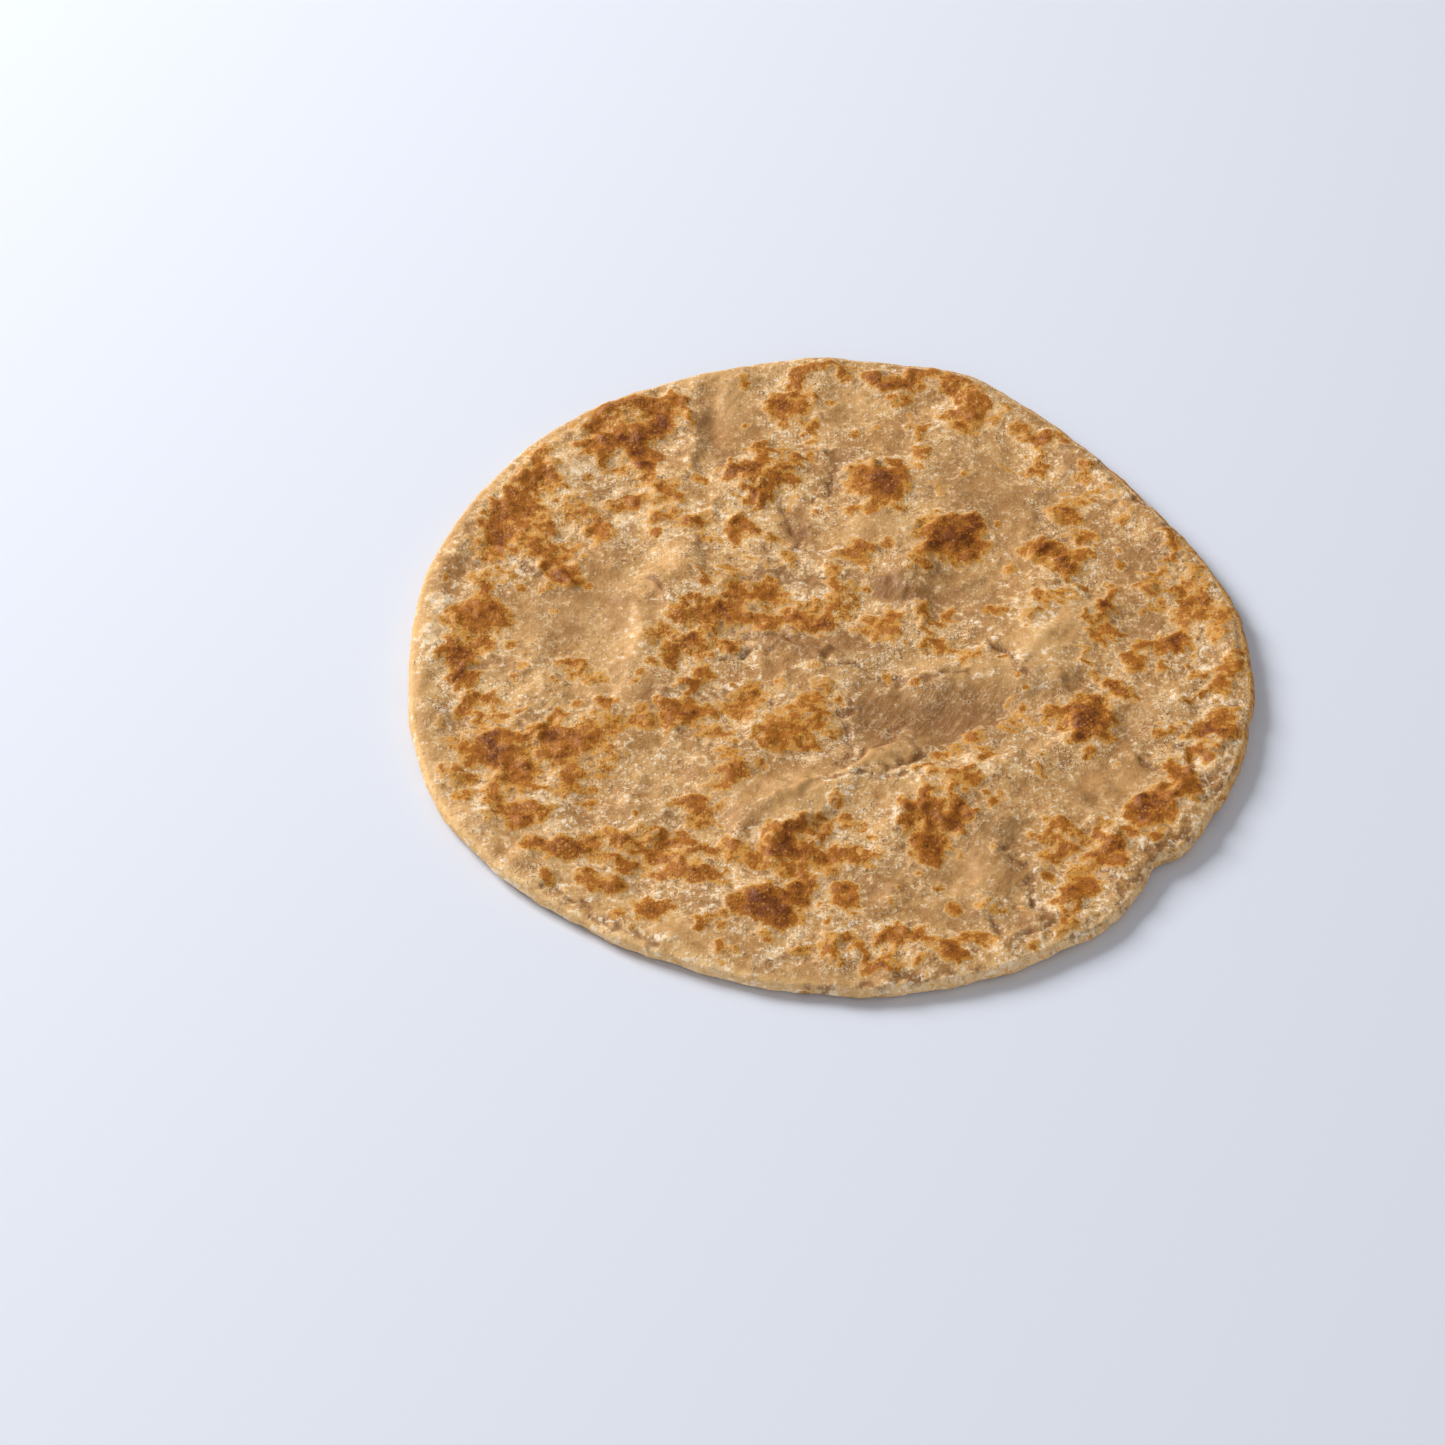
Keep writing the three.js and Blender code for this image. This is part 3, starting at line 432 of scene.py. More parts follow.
def tint(red: float, green: float, blue: float) -> Colour:
    """Linear colour of a display colour.

    Args:
        red: Display red, from 0 to 255.
        green: Display green, from 0 to 255.
        blue: Display blue, from 0 to 255.

    Returns:
        The linear colour, with alpha 1.
    """
    def lin(c: float) -> float:
        """Linear value of one display channel."""
        c /= 255
        return c / 12.92 if c <= 0.04045 else ((c + 0.055) / 1.055) ** 2.4
    return lin(red), lin(green), lin(blue), 1.0


class Wire:
    """A shader socket that takes part in arithmetic.

    Args:
        graph: The graph that the socket belongs to.
        socket: The Blender socket that gives the value.
    """

    def __init__(self, graph: "Graph", socket: bpy.types.NodeSocket) -> None:
        """Keep the graph and the socket."""
        self.graph = graph
        self.socket = socket

    def _math(self, operation: str, first: Any, second: Any) -> "Wire":
        """One Math node on two values."""
        return self.graph.node("ShaderNodeMath", {"operation": operation}, {0: first, 1: second})

    def __add__(self, other: Any) -> "Wire":
        """self + other."""
        return self._math("ADD", self, other)

    def __radd__(self, other: Any) -> "Wire":
        """other + self."""
        return self._math("ADD", other, self)

    def __sub__(self, other: Any) -> "Wire":
        """self - other."""
        return self._math("SUBTRACT", self, other)

    def __rsub__(self, other: Any) -> "Wire":
        """other - self."""
        return self._math("SUBTRACT", other, self)

    def __mul__(self, other: Any) -> "Wire":
        """self * other."""
        return self._math("MULTIPLY", self, other)

    def __rmul__(self, other: Any) -> "Wire":
        """other * self."""
        return self._math("MULTIPLY", other, self)


class Graph:
    """The node graph of one material.

    Cloudy noise stays near its middle, so its swing is stretched by SWING.
    """

    SWING = 5.5

    def __init__(self, name: str) -> None:
        """Make an empty material with nodes.

        Args:
            name: The material's name.
        """
        self.material = bpy.data.materials.new(name)
        self.material.use_nodes = True
        self.tree = self.material.node_tree
        self.tree.nodes.clear()

    def node(self, kind: str, settings: dict[str, Any], inputs: dict[Any, Any],
             output: int | str = 0) -> Wire | None:
        """Add a node, set it up and feed it.

        Args:
            kind: The node's type.
            settings: Its properties, set first.
            inputs: Values or wires, by input index or name.
            output: Which output to give back.

        Returns:
            The chosen output, or nothing for the node that ends the graph.
        """
        made = self.tree.nodes.new(kind)
        for key, value in settings.items():
            setattr(made, key, value)
        for key, value in inputs.items():
            if isinstance(value, Wire):
                self.tree.links.new(value.socket, made.inputs[key])
            else:
                made.inputs[key].default_value = value
        return Wire(self, made.outputs[output]) if made.outputs else None

    def mask(self, name: str) -> Wire:
        """A painted value of the mesh."""
        return self.node("ShaderNodeAttribute", {"attribute_name": name}, {}, "Fac")

    def step(self, value: Wire, low: float, high: float) -> Wire:
        """A smooth step from 0 to 1 as value goes from low to high."""
        return self.node("ShaderNodeMapRange", {"interpolation_type": "SMOOTHSTEP"},
                         {"Value": value, "From Min": low, "From Max": high})

    def mix(self, share: Any, first: Any, second: Any) -> Wire:
        """Mix two colours: first where share is 0, second where it is 1."""
        return self.node("ShaderNodeMix", {"data_type": "RGBA"}, {0: share, 6: first, 7: second}, 2)

    def clouds(self, place: Wire, size: float, detail: float = 2.0, rough: float = 0.55) -> Wire:
        """Cloudy noise that swings about 0, mostly between -1 and 1.

        Args:
            place: Position in millimetres.
            size: Rough size of one cloud, in millimetres.
            detail: How many finer layers are added.
            rough: How strong those are.

        Returns:
            The noise.
        """
        noise = self.node("ShaderNodeTexNoise", {"noise_dimensions": "3D"},
                          {"Vector": place, "Scale": 1 / size, "Detail": detail, "Roughness": rough})
        return (noise - 0.5) * self.SWING

    def strands(self, place: Wire, size: float, stretch: float, turn: float) -> Wire:
        """Fine strands that all run one way, swinging about 0.

        Args:
            place: Position in millimetres.
            size: Rough width of one strand, in millimetres.
            stretch: How many times longer than wide they are.
            turn: Direction they run in, in degrees.

        Returns:
            The strands.
        """
        turned = self.node("ShaderNodeVectorRotate", {"rotation_type": "Z_AXIS"},
                           {"Vector": place, "Angle": math.radians(-turn)})
        drawn_out = self.node("ShaderNodeVectorMath", {"operation": "MULTIPLY"},
                              {0: turned, 1: (1 / stretch, 1.0, 1.0)})
        return self.clouds(drawn_out, size, 2)

    def cells(self, place: Wire, size: float) -> tuple[Wire, Wire]:
        """Small irregular cells.

        Args:
            place: Position in millimetres.
            size: Rough size of one cell, in millimetres.

        Returns:
            How far each place is from its cell's middle, and a random value for each cell.
        """
        away = self.node("ShaderNodeTexVoronoi", {"feature": "F1", "voronoi_dimensions": "3D"},
                         {"Vector": place, "Scale": 1 / size, "Randomness": 1.0}, "Distance")
        colour = Wire(self, away.socket.node.outputs["Color"])
        return away, self.node("ShaderNodeSeparateColor", {}, {"Color": colour})

    def grains(self, place: Wire, size: float, share: float) -> Wire:
        """Round grains, 1 in the middle of each and 0 between them.

        Args:
            place: Position in millimetres.
            size: Rough distance from grain to grain, in millimetres.
            share: Share of the places for a grain that hold one.

        Returns:
            The grains.
        """
        away, draw = self.cells(place, size)
        ragged = away + self.clouds(place, size * 0.7, 2) * 0.1
        return self.step(ragged, 0.55, 0.22) * self.step(draw, 1 - share, 1.3 - share)

    def millimetres(self) -> Wire:
        """Position on the object, in millimetres."""
        place = self.node("ShaderNodeTexCoord", {}, {}, "Object")
        return self.node("ShaderNodeVectorMath", {"operation": "SCALE"}, {0: place, "Scale": 1 / MM})

    def finish(self, surface: Wire) -> bpy.types.Material:
        """Send a surface to the output and give back the material."""
        self.node("ShaderNodeOutputMaterial", {}, {"Surface": surface})
        return self.material


class Textures:
    """The masks painted on the mesh and the fine textures that colours and relief share.

    The sizes are in millimetres.
    """

    BROAD = 15.0
    FLAKY_PATCH = 9.0
    MOTTLE = 4.2
    LAYER = 3.1
    FRECKLE = 2.3
    GRAIN = 1.5
    FLAKE = 1.2
    PORE = 1.15
    HAIR = 0.9
    GRIT = 0.8

    def __init__(self, g: Graph) -> None:
        """Read the masks and make the textures.

        Args:
            g: The graph of the material.
        """
        place = g.millimetres()
        self.toast, self.flour_and_highlight, self.bare_and_shade, self.smooth, self.crease, self.rim = (
            g.mask(name) for name in ("toast", "flour_and_highlight", "bare_and_shade", "smooth", "crease", "rim"))
        self.broad = g.clouds(place, self.BROAD, 3, 0.6)
        self.mottle = g.clouds(place, self.MOTTLE, 3, 0.6)
        self.grain = g.clouds(place, self.GRAIN, 3, 0.7)
        self.grit = g.grains(place, self.GRIT, 0.5)
        self.pores = g.grains(place, self.PORE, 0.35)
        self.freckles = g.grains(place, self.FRECKLE, 0.4)
        self.flake = g.cells(place, self.FLAKE)[1] + self.grain * 0.16
        self.hair = g.strands(place, self.HAIR, 6, 62)
        self.layer = g.clouds(place, self.LAYER, 2, 0.6)
        patch = g.clouds(place, self.FLAKY_PATCH, 2)
        self.torn = g.step(patch + self.flour_and_highlight * 0.6 + self.toast * 0.4, -0.1, 0.7)

        self.skin = (1 - self.bare_and_shade * 0.7) * (1 - self.smooth * 0.75) * (1 - self.rim * 0.5)
        self.light = g.step(self.broad * 0.7 + self.mottle * 0.5 + self.grain * 0.15, -0.6, 0.65)
        edge = g.step(self.toast, 0.02, 0.16)
        halo = edge * (1 - g.step(self.toast, 0.14, 0.3))
        # The flour mask also holds painted highlights, which the pale haze paints.
        powder_and_highlight = self.flour_and_highlight + self.mottle * 0.16 + self.broad * 0.06
        self.dusty_and_highlight = powder_and_highlight + halo * 0.34 - self.bare_and_shade * 0.5 - self.smooth * 0.2
        lace = self.grain * 0.2 + self.mottle * 0.11 + self.grit * 0.06 - self.pores * 0.05
        self.heat = self.toast + lace * edge
        self.charred = g.step(self.heat, 0.25, 0.6)


@dataclass(frozen=True)
class BakedDough:
    """The finish of the bread: wheat dough with toast, flour and bare brown places, and painted light
    and shade.

    Args:
        crumb: The dough where it is lightest.
        tan: The dough where it is darkest.
        bare_and_shade: Smooth brown places, some of them painted shade, and pores.
        pale_and_highlight: Dough with a floury haze, the rings round toast, and painted highlights on
            lips and crests.
        flour_and_highlight: White flakes and grit, denser where the floury mask holds painted
            highlights.
        rolled_and_bounce_light: The margin, its own paler dough lightened further as painted bounce
            light.
        golden: Light toast.
        brown: Middling toast.
        dark: Dark toast.
        crease_shade_and_fibre: Painted shade in creases and cracks, and the dark fibres of smooth
            brown places.
        relief: Height of the relief that is finer than the mesh, in millimetres.
        relief_strength: How strongly it shows.
        gloss: Strength of the highlights.
    """

    crumb: Colour = tint(214, 168, 108)
    tan: Colour = tint(182, 133, 77)
    bare_and_shade: Colour = tint(146, 101, 58)
    pale_and_highlight: Colour = tint(248, 218, 173)
    flour_and_highlight: Colour = tint(252, 235, 210)
    rolled_and_bounce_light: Colour = tint(236, 190, 124)
    golden: Colour = tint(210, 147, 50)
    brown: Colour = tint(164, 93, 12)
    dark: Colour = tint(116, 57, 2)
    crease_shade_and_fibre: Colour = tint(132, 86, 44)
    relief: float = 0.18
    relief_strength: float = 0.85
    gloss: float = 0.27

    def material(self, name: str) -> bpy.types.Material:
        """The dough's material, which reads the masks painted on the mesh.

        Args:
            name: The material's name.

        Returns:
            The material.
        """
        g = Graph(name)
        t = Textures(g)
        base = self._crumb(g, t)
        base = self._dusted(g, t, base)
        base = self._toasted(g, t, base)
        base = self._sprinkled(g, t, base)
        dullness = 0.62 - t.bare_and_shade * 0.1 - t.charred * 0.12 + t.grain * 0.08
        return g.finish(g.node("ShaderNodeBsdfPrincipled", {}, {
            "Base Color": base, "Roughness": dullness, "Normal": self._bumps(g, t),
            "Specular IOR Level": self.gloss}))

    def _crumb(self, g: Graph, t: Textures) -> Wire:
        """The dough's colour, with bare places, fibres, pores, torn layers, creases and painted light
        and shade.

        Args:
            g: The graph.
            t: Its textures.

        Returns:
            The colour.
        """
        # Torn layers: a dark crack of painted shade, and beside it a pale lip, partly painted
        # highlight.
        crack_shade = g.step(t.layer, -0.2, -0.06) * (1 - g.step(t.layer, -0.05, 0.02)) * t.torn
        lip_and_highlight = g.step(t.layer, -0.04, 0.04) * (1 - g.step(t.layer, 0.08, 0.32)) * t.torn
        speckle = t.grain * 0.9 + t.mottle * 0.5
        base = g.mix(t.light, self.tan, self.crumb)
        base = g.mix(t.smooth * 0.6, base, self.crumb)
        # The margin is made paler: partly its own dough, partly painted bounce light.
        base = g.mix(t.rim * 0.7, base, self.rolled_and_bounce_light)
        # Bare places are brown dough, and some of them are painted shade.
        base = g.mix(t.bare_and_shade, base, self.bare_and_shade)
        base = g.mix(g.step(t.hair, 0.3, 1.4) * t.bare_and_shade * 0.4, base, self.crumb)
        base = g.mix(g.step(t.hair, -0.2, -1.2) * t.bare_and_shade * 0.4, base, self.crease_shade_and_fibre)
        base = g.mix(g.step(speckle, 0.15, 1.2) * t.skin * 0.75, base, self.pale_and_highlight)
        base = g.mix(g.step(speckle, -0.25, -1.2) * t.skin * 0.6, base, self.bare_and_shade)
        base = g.mix(t.pores * (0.2 + t.skin * 0.4), base, self.bare_and_shade)
        base = g.mix(lip_and_highlight * t.skin * 0.62, base, self.pale_and_highlight)
        # Creases and cracks are painted darker, as shade.
        return g.mix(g.step(t.crease + crack_shade * t.skin * 0.85, 0, 0.9) * 0.8, base, self.crease_shade_and_fibre)

    def _dusted(self, g: Graph, t: Textures, base: Wire) -> Wire:
        """Flour rubbed over a colour, in a haze and in flakes, which also paint the highlights in its
        mask.

        Args:
            g: The graph.
            t: Its textures.
            base: The colour below.

        Returns:
            The floury colour.
        """
        # The haze also paints the highlights held in the flour mask.
        base = g.mix(g.step(t.dusty_and_highlight + t.grain * 0.2, 0.15, 0.85) * 0.6, base, self.pale_and_highlight)
        return g.mix(g.step(t.dusty_and_highlight * 0.35 + t.flake, 0.96, 1.08) * 0.62, base, self.flour_and_highlight)

    def _toasted(self, g: Graph, t: Textures, base: Wire) -> Wire:
        """Toast over a colour: a pale ring, then golden, brown and dark towards the middle.

        Args:
            g: The graph.
            t: Its textures.
            base: The colour below.

        Returns:
            The toasted colour.
        """
        ring = g.step(t.toast + t.grain * 0.1, 0.1, 0.2) * (1 - g.step(t.heat, 0.24, 0.36))
        base = g.mix(ring * g.step(t.grain + t.mottle * 0.5, -0.9, 0.5) * 0.5, base, self.pale_and_highlight)
        base = g.mix(g.step(t.heat, 0.2, 0.31) * 0.8, base, self.golden)
        base = g.mix(g.step(t.heat, 0.35, 0.49) * 0.88, base, self.brown)
        base = g.mix(g.step(t.heat, 0.56, 1.0), base, self.dark)
        return g.mix(t.pores * t.charred * 0.7, base, self.dark)

    def _sprinkled(self, g: Graph, t: Textures, base: Wire) -> Wire:
        """Golden freckles and pale grit over a colour.

        Args:
            g: The graph.
            t: Its textures.
            base: The colour below.

        Returns:
            The colour with its freckles and grit.
        """
        freckles = t.freckles * g.step(t.toast * 2 + t.flour_and_highlight + t.broad * 0.25, 0.1, 0.7)
        untoasted = (1 - t.charred) * t.skin
        spotted = g.step(freckles + t.grain * 0.25, 0.3, 0.8) * untoasted
        base = g.mix(spotted * 0.6, base, self.golden)
        # Grit gathers more where the flour mask holds painted highlights.
        strewn = t.grit * untoasted * (0.2 + t.light * 0.45 + t.dusty_and_highlight * 0.5)
        base = g.mix(strewn, base, self.flour_and_highlight)
        return g.mix(t.grit * t.charred * 0.5, base, self.golden)

    def _bumps(self, g: Graph, t: Textures) -> Wire:
        """Normals of the relief that is finer than the mesh.

        Args:
            g: The graph.
            t: Its textures.

        Returns:
            The normals.
        """
        plate = g.step(t.layer, -0.16, 0.02) * t.torn * 0.9
        rough = (t.grain * 0.5 + t.grit * 0.5 - t.pores * 0.4 + plate) * (0.2 + t.skin * 0.8)
        height = t.hair * t.bare_and_shade * 0.35 + rough + t.mottle * 0.3
        return g.node("ShaderNodeBump", {}, {
            "Strength": self.relief_strength, "Distance": self.relief * MM, "Height": height})


@dataclass(frozen=True)
class PalePlain:
    """A plain matt finish for the table.

    Args:
        colour: Its colour.
        dullness: Its roughness.
        gloss: Strength of its highlights.
    """

    colour: Colour
    dullness: float = 0.6
    gloss: float = 0.2

    def material(self, name: str) -> bpy.types.Material:
        """The plain material.

        Args:
            name: The material's name.

        Returns:
            The material.
        """
        g = Graph(name)
        return g.finish(g.node("ShaderNodeBsdfPrincipled", {}, {
            "Base Color": self.colour, "Roughness": self.dullness, "Specular IOR Level": self.gloss}))


class Face(Enum):
    """The two faces of the bread, each with the first seed of its random draws."""

    UPPER = 100
    UNDER = 500


@dataclass
class Plan:
    """A grid over the bread's plan on which heights and masks are worked out, in millimetres.

    Args:
        half: Half the width and half the depth that the grid covers.
        step: Distance between grid points.
        forward: How far the swollen middle carries the listed spots and lines towards the front.
        x: Each grid point's place across.
        y: Each grid point's place away.
        carried: The places away at which the listed spots and lines are read.
    """

    half: tuple[float, float]
    step: float = 0.4
    forward: float = 1.6
    x: np.ndarray = field(init=False)
    y: np.ndarray = field(init=False)
    carried: np.ndarray = field(init=False)
    _fx: np.ndarray = field(init=False, repr=False)
    _fy: np.ndarray = field(init=False, repr=False)
    _sway: list[np.ndarray] = field(init=False, repr=False)

    def __post_init__(self) -> None:
        """Lay out the grid."""
        across = np.arange(-self.half[0], self.half[0] + self.step, self.step)
        away = np.arange(-self.half[1], self.half[1] + self.step, self.step)
        self.x, self.y = np.meshgrid(across, away)
        fx = np.fft.fftfreq(len(across), self.step)
        fy = np.fft.fftfreq(len(away), self.step)
        self._fx, self._fy = np.meshgrid(fx, fy)
        inner = 1 - np.hypot(self.x / self.half[0], self.y / self.half[1])
        self.carried = self.y + self.forward * ease(0.05, 0.3, inner)
        self._sway = [0.9 * self.noise(8, seed) + 0.4 * self.noise(3, seed + 1) for seed in (61, 63)]

    def _filter(self, values: np.ndarray, response: np.ndarray) -> np.ndarray:
        """Filter a grid by a response over its frequencies."""
        return np.fft.ifft2(np.fft.fft2(values) * response).real

    def blur(self, values: np.ndarray, sigma: float) -> np.ndarray:
        """Soften a grid of values over a distance."""
        squared = self._fx ** 2 + self._fy ** 2
        return self._filter(values, np.exp(-2 * (math.pi * sigma) ** 2 * squared))

    def noise(self, size: float, seed: int, stretch: float = 1.0, turn: float = 0.0) -> np.ndarray:
        """Rounded bumps of one size, with mean 0 and spread 1.

        Args:
            size: Distance from bump to bump.
            seed: Seed of the random draw.
            stretch: How many times longer the bumps are along their turn.
            turn: Direction of the long way, in degrees.

        Returns:
            The noise on the grid.
        """
        angle = math.radians(turn)
        along = (self._fx * math.cos(angle) + self._fy * math.sin(angle)) * size * stretch
        across = (self._fy * math.cos(angle) - self._fx * math.sin(angle)) * size
        # White noise keeps only the waves near one length, which leaves bumps of one size.
        ring = np.hypot(along, across)
        draw = np.random.default_rng(seed).standard_normal(self.x.shape)
        bumps = self._filter(draw, np.exp(-((ring - 0.8) / 0.5) ** 2))
        return (bumps - bumps.mean()) / bumps.std()

    def spots(self, spots: Sequence[Spot], drift: float = 1.0, seed: int = 11) -> np.ndarray:
        """Soft, ragged spots joined into one mask.

        Args:
            spots: The spots, as (across, away, half length, half width, strength[, turn]).
            drift: How far their outlines wander.
            seed: Seed of the wander.

        Returns:
            The mask, about the spots' strengths at their middles.
        """
        # Cubes are added and their root taken, so spots that meet join without growing stronger.
        x = self.x + drift * (self.noise(5, seed) * 0.75 + self.noise(2.2, seed + 1) * 0.3)
        y = self.carried + drift * (self.noise(5, seed + 2) * 0.75 + self.noise(2.2, seed + 3) * 0.3)
        total = np.zeros_like(x)
        for across, away, length, width, strength, *turn in spots:
            reach = 2.4 * max(length, width) + 3 * drift + self.forward
            rows, columns = self.window(across, away, reach)
            angle = math.radians(turn[0] if turn else 0)
            dx = x[rows, columns] - across
            dy = y[rows, columns] - away
            along = (dx * math.cos(angle) + dy * math.sin(angle)) / length
            beside = (dy * math.cos(angle) - dx * math.sin(angle)) / width
            total[rows, columns] += (strength * np.exp(-0.62 * (along ** 2 + beside ** 2))) ** 3
        return np.cbrt(total)

    def window(self, x: float, y: float, reach: float) -> tuple[slice, slice]:
        """The part of the grid around a place.

        Args:
            x: The place across.
            y: The place away.
            reach: How far the part goes on each side.

        Returns:
            Its rows and its columns.
        """
        columns = slice(*np.searchsorted(self.x[0], (x - reach, x + reach)))
        rows = slice(*np.searchsorted(self.y[:, 0], (y - reach, y + reach)))
        return rows, columns

    def distance(self, line: Line) -> tuple[np.ndarray, np.ndarray]:
        """How far each grid point lies from a line that sways a little, and on which side.

        Args:
            line: The points of the line.

        Returns:
            The distance, and a value from 1 on the line's left to -1 on its right.
        """
        best = np.full(self.x.shape, np.inf)
        side = np.zeros_like(best)
        x, y = self.x + self._sway[0], self.carried + self._sway[1]
        for (ax, ay), (bx, by) in zip(line, line[1:]):
            ux, uy = bx - ax, by - ay
            long = math.hypot(ux, uy)
            share = np.clip(((x - ax) * ux + (y - ay) * uy) / long ** 2, 0, 1)
            dx, dy = x - ax - share * ux, y - ay - share * uy
            gap = np.hypot(dx, dy)
            nearer = gap < best
            best = np.where(nearer, gap, best)
            side = np.where(nearer, (ux * dy - uy * dx) / (long * np.maximum(gap, 1e-6)), side)
        return best, side

    def sample(self, values: np.ndarray, x: np.ndarray, y: np.ndarray) -> np.ndarray:
        """Values at any places, read between the grid points.

        Args:
            values: Values on the grid.
            x: The places across.
            y: The places away.

        Returns:
            The value at each place.
        """
        column = np.clip((x + self.half[0]) / self.step, 0, values.shape[1] - 1.001)
        row = np.clip((y + self.half[1]) / self.step, 0, values.shape[0] - 1.001)
        c, r = column.astype(int), row.astype(int)
        fc, fr = column - c, row - r
        top = values[r, c] * (1 - fc) + values[r, c + 1] * fc
        bottom = values[r + 1, c] * (1 - fc) + values[r + 1, c + 1] * fc
        return top * (1 - fr) + bottom * fr


def ease(low: float, high: float, values: np.ndarray) -> np.ndarray:
    """A smooth step from 0 to 1 as the values go from low to high."""
    t = np.clip((values - low) / (high - low), 0, 1)
    return t * t * (3 - 2 * t)


def around(angle: np.ndarray, reach: np.ndarray) -> np.ndarray:
    """Reach of a closed outline in any directions.

    Args:
        angle: The directions, from 0 to a full turn.
        reach: The outline's reach in evenly spread directions, from 0 on.

    Returns:
        The reach in each direction.
    """
    steps = np.arange(len(reach) + 1) / len(reach) * FULL_TURN
    return np.interp(angle, steps, np.append(reach, reach[0]))


class CadSheet:
    """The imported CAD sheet, measured so that the fine mesh follows it.

    The margin is looked for in DIRECTIONS directions and at LEVELS heights. The faces are measured
    at every STRIDE-th grid point and softened over CLOSE millimetres, or over LOOSE millimetres
    where few measured points lie near.
    """

    DIRECTIONS = 720
    LEVELS = 9
    STRIDE = 4
    CLOSE = 1.5
    LOOSE = 9.0

    def __init__(self, node: str, plan: Plan) -> None:
        """Build a search tree over the node's faces.

        Args:
            node: Name of the CAD node.
            plan: The grid that heights are wanted on.
        """
        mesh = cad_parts[node].data
        places = [v.co.copy() for v in mesh.vertices]
        self.tree = BVHTree.FromPolygons(places, [tuple(p.vertices) for p in mesh.polygons])
        self.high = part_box(node)[1]
        self.plan = plan

    def reach(self) -> np.ndarray:
        """Distance from the middle to the margin in evenly spread directions.

        Returns:
            The distances in millimetres.
        """
        far = 2 * max(self.high.x, self.high.y)
        levels = np.linspace(0.15, 0.85, self.LEVELS) * self.high.z
        found = []
        for angle in np.arange(self.DIRECTIONS) * FULL_TURN / self.DIRECTIONS:
            out = Vector((math.cos(angle), math.sin(angle), 0))
            hits = (self.tree.ray_cast(out * far + Vector((0, 0, z)), -out)[0] for z in levels)
            found.append(max(h.to_2d().length for h in hits if h) / MM)
        return np.array(found)

    def heights(self, face: Face, inside: np.ndarray) -> np.ndarray:
        """Softened heights of one face on the plan, in millimetres.

        Args:
            face: Which face.
            inside: 1 on the plan where the face is away from its rounded edge.

        Returns:
            The heights, carried on smoothly past the edge.
        """
        down = -1 if face is Face.UPPER else 1
        start = -down * 2 * self.high.z
        stride = self.STRIDE
        coarse = np.full(self.plan.x[::stride, ::stride].shape, np.nan)
        wanted = inside[::stride, ::stride] > 0.5
        for row, column in zip(*np.nonzero(wanted)):
            x = self.plan.x[row * stride, column * stride] * MM
            y = self.plan.y[row * stride, column * stride] * MM
            hit = self.tree.ray_cast(Vector((x, y, start)), Vector((0, 0, down)))[0]
            if hit:
                coarse[row, column] = hit.z / MM
        # The measured points are blurred with their weights, which also fills in around them.
        known = np.isfinite(coarse)
        filled = np.zeros(self.plan.x.shape)
        weight = np.zeros(self.plan.x.shape)
        filled[::stride, ::stride] = np.where(known, coarse, 0)
        weight[::stride, ::stride] = known
        near = self.plan.blur(weight, self.CLOSE)
        wide = self.plan.blur(weight, self.LOOSE)
        blend = ease(0.15, 0.6, near * stride ** 2)
        close = self.plan.blur(filled, self.CLOSE) / np.maximum(near, TINY)
        loose = self.plan.blur(filled, self.LOOSE) / np.maximum(wide, TINY)
        return close * blend + loose * (1 - blend)


